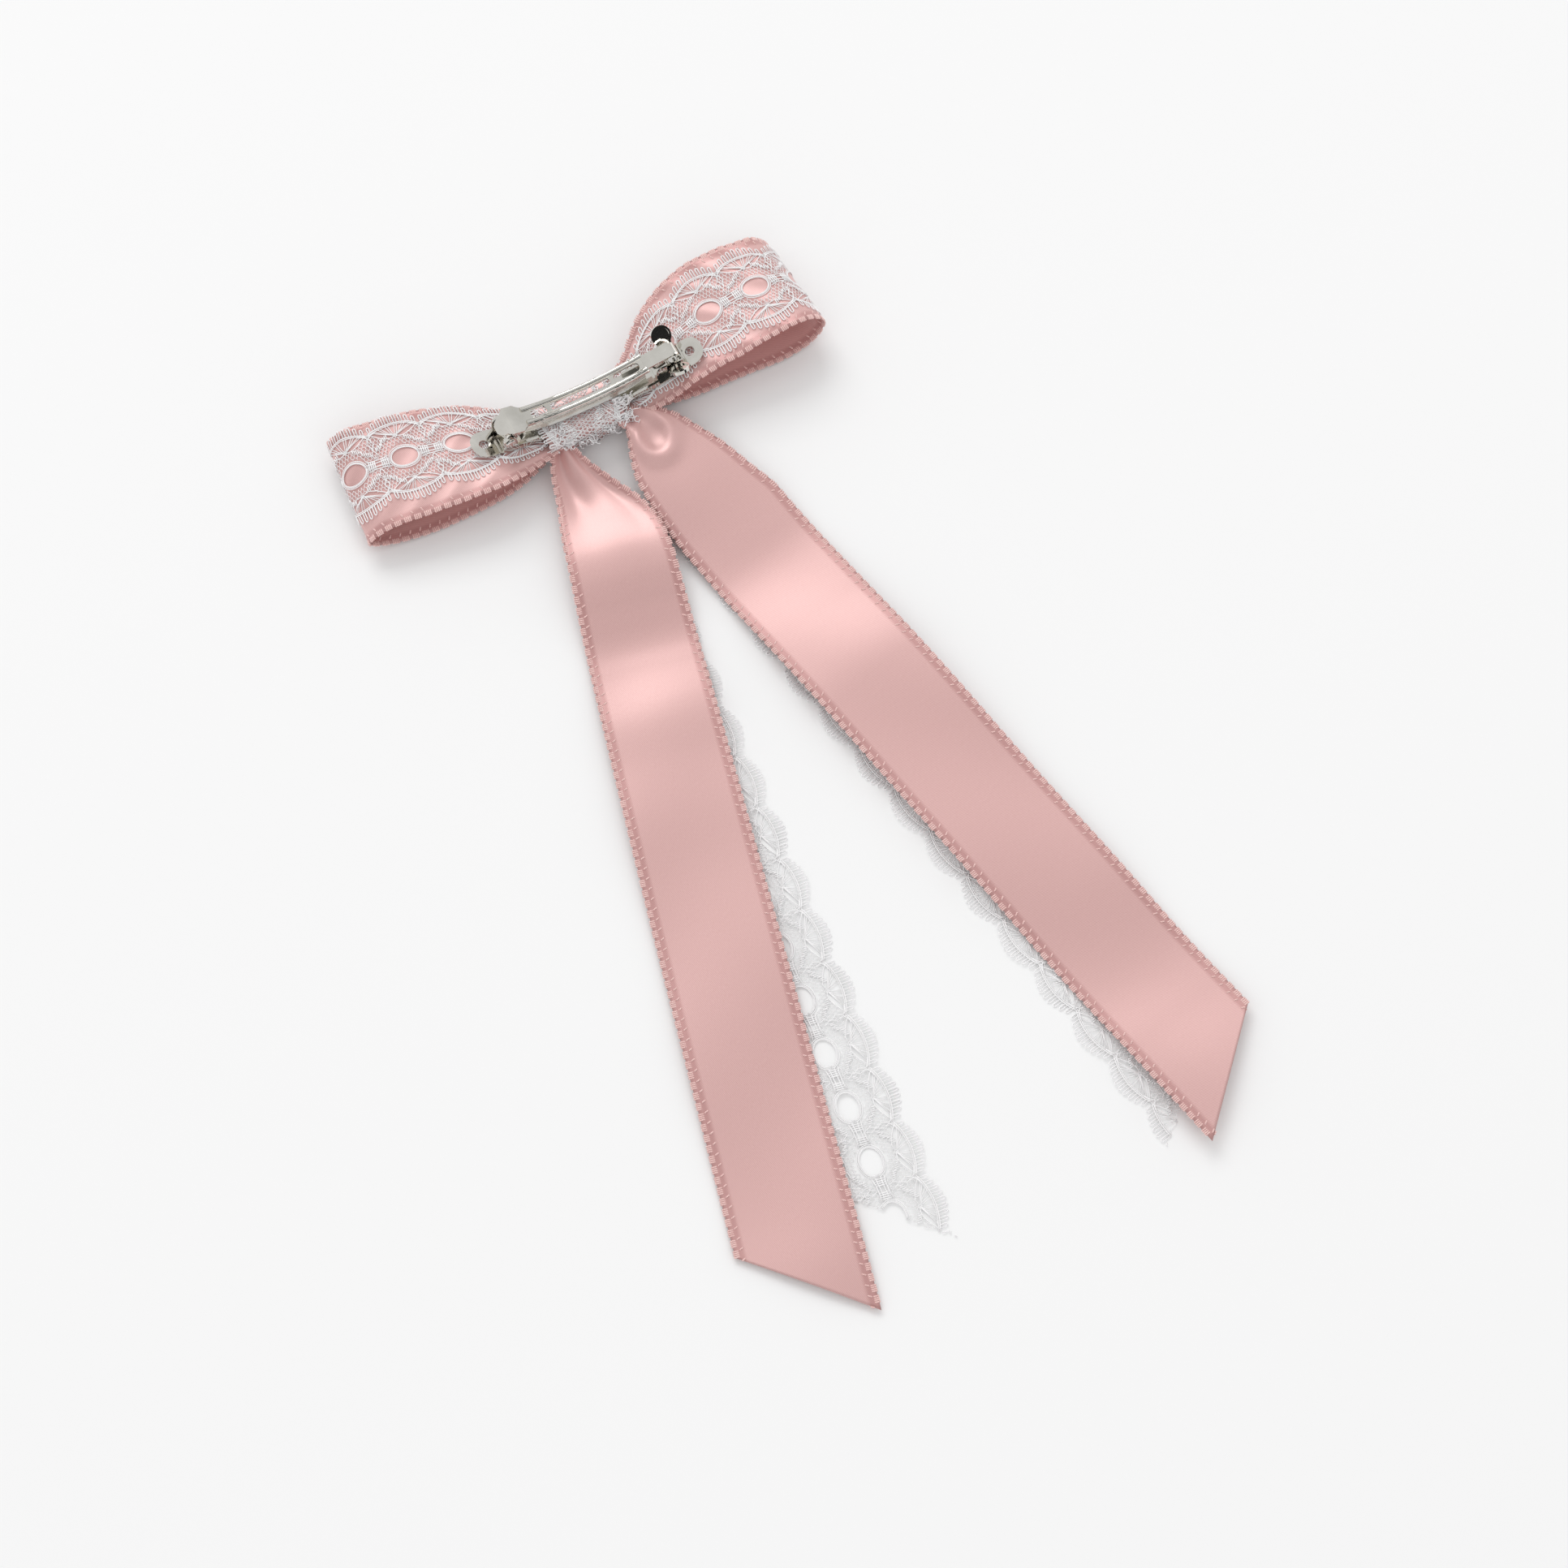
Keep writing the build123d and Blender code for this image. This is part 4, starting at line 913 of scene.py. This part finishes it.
# Tufts of loose threads round the knot: middle, and how many threads
TUFTS = [(-10.2, -3.4, 8.1, 34), (-8.6, -6.2, 6.4, 30), (7.4, -2.8, 8.9, 38), (7.2, -6.2, 6.6, 34),
         (3.6, -6.6, 5.6, 18), (-3.5, -6.7, 5.2, 22)]


def frayed_ends():
    """Loose crumpled lace threads that stand up where the wrap ends on each side of the knot."""
    rng = random.Random(21)
    threads = Threads(4)
    steps = np.linspace(0, 1, 13)[:, None]
    for x, y, z, count in TUFTS:
        for _ in range(count):
            start = np.array([x + rng.uniform(-1.9, 1.9), y + rng.uniform(-1.3, 1.3),
                              z + rng.uniform(-0.8, 0.4)])
            way = np.array([rng.uniform(-1, 1), rng.uniform(-0.9, 0.8), rng.uniform(-0.1, 0.7)])
            way /= np.linalg.norm(way)
            aside = np.cross(way, [rng.uniform(-1, 1), rng.uniform(-1, 1), rng.uniform(-1, 1)])
            aside /= max(np.linalg.norm(aside), 0.1)
            above = np.cross(way, aside)
            turns, curl, length = rng.uniform(0.5, 1.3), rng.uniform(0.3, 0.7), rng.uniform(0.8, 2.2)
            angle = steps * turns * 2 * math.pi + rng.uniform(0, 6)
            line = start + way * length * steps + aside * curl * np.cos(angle) + above * curl * np.sin(angle)
            line[:, 1] = np.minimum(line[:, 1], -SPRING_CLEAR_Y)
            line[:, 2] = np.maximum(line[:, 2], FLOOR_CLEAR)
            threads.add(line, np.tile([0.1, 0.1, 1.0], (len(line), 1)), rng.uniform(0.16, 0.32), 1.0)
    return threads.piece("lace_knot_frayed_ends", lace_white)


def attach(piece, material_slot, *nodes):
    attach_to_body(piece, "bow")
    if nodes:
        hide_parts(*nodes)


for name in ("left", "right"):
    cloth, body, trim, lace = make_loop(name)
    attach(body, "pink_satin", f"loop_satin_{name}")
    attach(trim, "pink_satin")
    attach(lace, "white_lace", f"loop_lace_{name}")
    cloth, body, trim, lace_cloth, lace = make_tail(name)
    attach(body, "pink_satin", f"tail_satin_{name}")
    attach(trim, "pink_satin")
    attach(lace, "white_lace", f"tail_lace_{name}")

knot_body, knot_lace, knot_fold, knot_satin_cloth, knot_lace_cloth = make_knot()
frayed = frayed_ends()
attach(knot_body, "pink_satin", "knot_satin_band")
attach(knot_lace, "white_lace", "knot_lace_band")
attach(knot_fold, "white_lace")
attach(frayed, "white_lace")


# ================================================================== floor, light and camera
def soft_light(name, place, aim, size, power):
    data = bpy.data.lights.new(name, "AREA")
    data.shape = "RECTANGLE"
    data.size, data.size_y = size
    data.energy = power
    light = bpy.data.objects.new(name, data)
    bpy.context.scene.collection.objects.link(light)
    light.location = place
    light.rotation_mode = "QUATERNION"
    light.rotation_quaternion = (Vector(aim) - Vector(place)).to_track_quat("-Z", "Y")


# What bright metal mirrors, from behind the tails to beyond the bow: (place, brightness)
ROOM_BANDS = [(0.0, 0.9), (0.13, 0.9), (0.15, 0.02), (0.28, 0.02), (0.30, 1.1), (0.38, 1.1), (0.40, 0.02),
              (0.52, 0.02), (0.545, 0.75), (0.60, 0.82), (0.68, 0.80), (0.80, 0.72),
              (0.815, 1.2), (0.89, 1.25), (0.90, 0.02), (0.925, 0.02), (0.935, 0.7), (1.0, 0.6)]


def room(world):
    """Even soft light, with dark and light bands that only glossy surfaces mirror."""
    nodes, links = world.node_tree.nodes, world.node_tree.links
    even = nodes["Background"]
    mirrored = nodes.new("ShaderNodeBackground")
    place = nodes.new("ShaderNodeTexCoord")
    across = nodes.new("ShaderNodeVectorMath")
    across.operation = "DOT_PRODUCT"
    across.inputs[1].default_value = (0.3, 1.0, 0.0)
    links.new(place.outputs["Generated"], across.inputs[0])
    spread = nodes.new("ShaderNodeMapRange")
    spread.inputs["From Min"].default_value = -1.05
    spread.inputs["From Max"].default_value = 1.05
    links.new(across.outputs["Value"], spread.inputs["Value"])
    bands = ramp(nodes, [(height, (level / 1.2,) * 3) for height, level in ROOM_BANDS])
    links.new(spread.outputs["Result"], bands.inputs["Fac"])
    links.new(bands.outputs["Color"], mirrored.inputs["Color"])
    mirrored.inputs["Strength"].default_value = 1.05
    rays = nodes.new("ShaderNodeLightPath")
    chosen = nodes.new("ShaderNodeMixShader")
    links.new(rays.outputs["Is Glossy Ray"], chosen.inputs["Fac"])
    links.new(even.outputs["Background"], chosen.inputs[1])
    links.new(mirrored.outputs["Background"], chosen.inputs[2])
    links.new(chosen.outputs["Shader"], nodes["World Output"].inputs["Surface"])


def studio():
    bpy.ops.object.select_all(action="DESELECT")
    bpy.ops.mesh.primitive_plane_add(size=6.0, location=(0, 0, 0))
    floor = bpy.context.object
    floor.name = "floor"
    paper, _, _, shader = new_finish("pale_paper")
    shader.inputs["Base Color"].default_value = (0.9, 0.9, 0.9, 1)
    shader.inputs["Roughness"].default_value = 0.9
    shader.inputs["Specular IOR Level"].default_value = 0.1
    floor.data.materials.append(paper)
    world = bpy.data.worlds.new("studio")
    bpy.context.scene.world = world
    world.use_nodes = True
    world.node_tree.nodes["Background"].inputs["Color"].default_value = (1, 1, 1, 1)
    world.node_tree.nodes["Background"].inputs["Strength"].default_value = 0.84
    soft_light("key_window", (0.35, 3.2, 3.0), (0, -0.1, 0), (3.2, 2.0), 66.0)
    room(world)


def camera():
    data = bpy.data.cameras.new("camera")
    view = bpy.data.objects.new("camera", data)
    bpy.context.scene.collection.objects.link(view)
    turn, tilt = math.radians(-27.25), math.radians(68.5)
    back = Vector((math.sin(turn) * math.cos(tilt), -math.cos(turn) * math.cos(tilt), math.sin(tilt)))
    data.sensor_width = 36.0
    data.lens = 83.0
    data.clip_start, data.clip_end = 0.05, 20.0
    view.location = (-0.1406, -0.3743, 0.7711)
    view.rotation_mode = "QUATERNION"
    view.rotation_quaternion = (-back).to_track_quat("-Z", "Y")
    bpy.context.scene.camera = view


studio()
camera()
bpy.context.scene.view_settings.view_transform = "Standard"
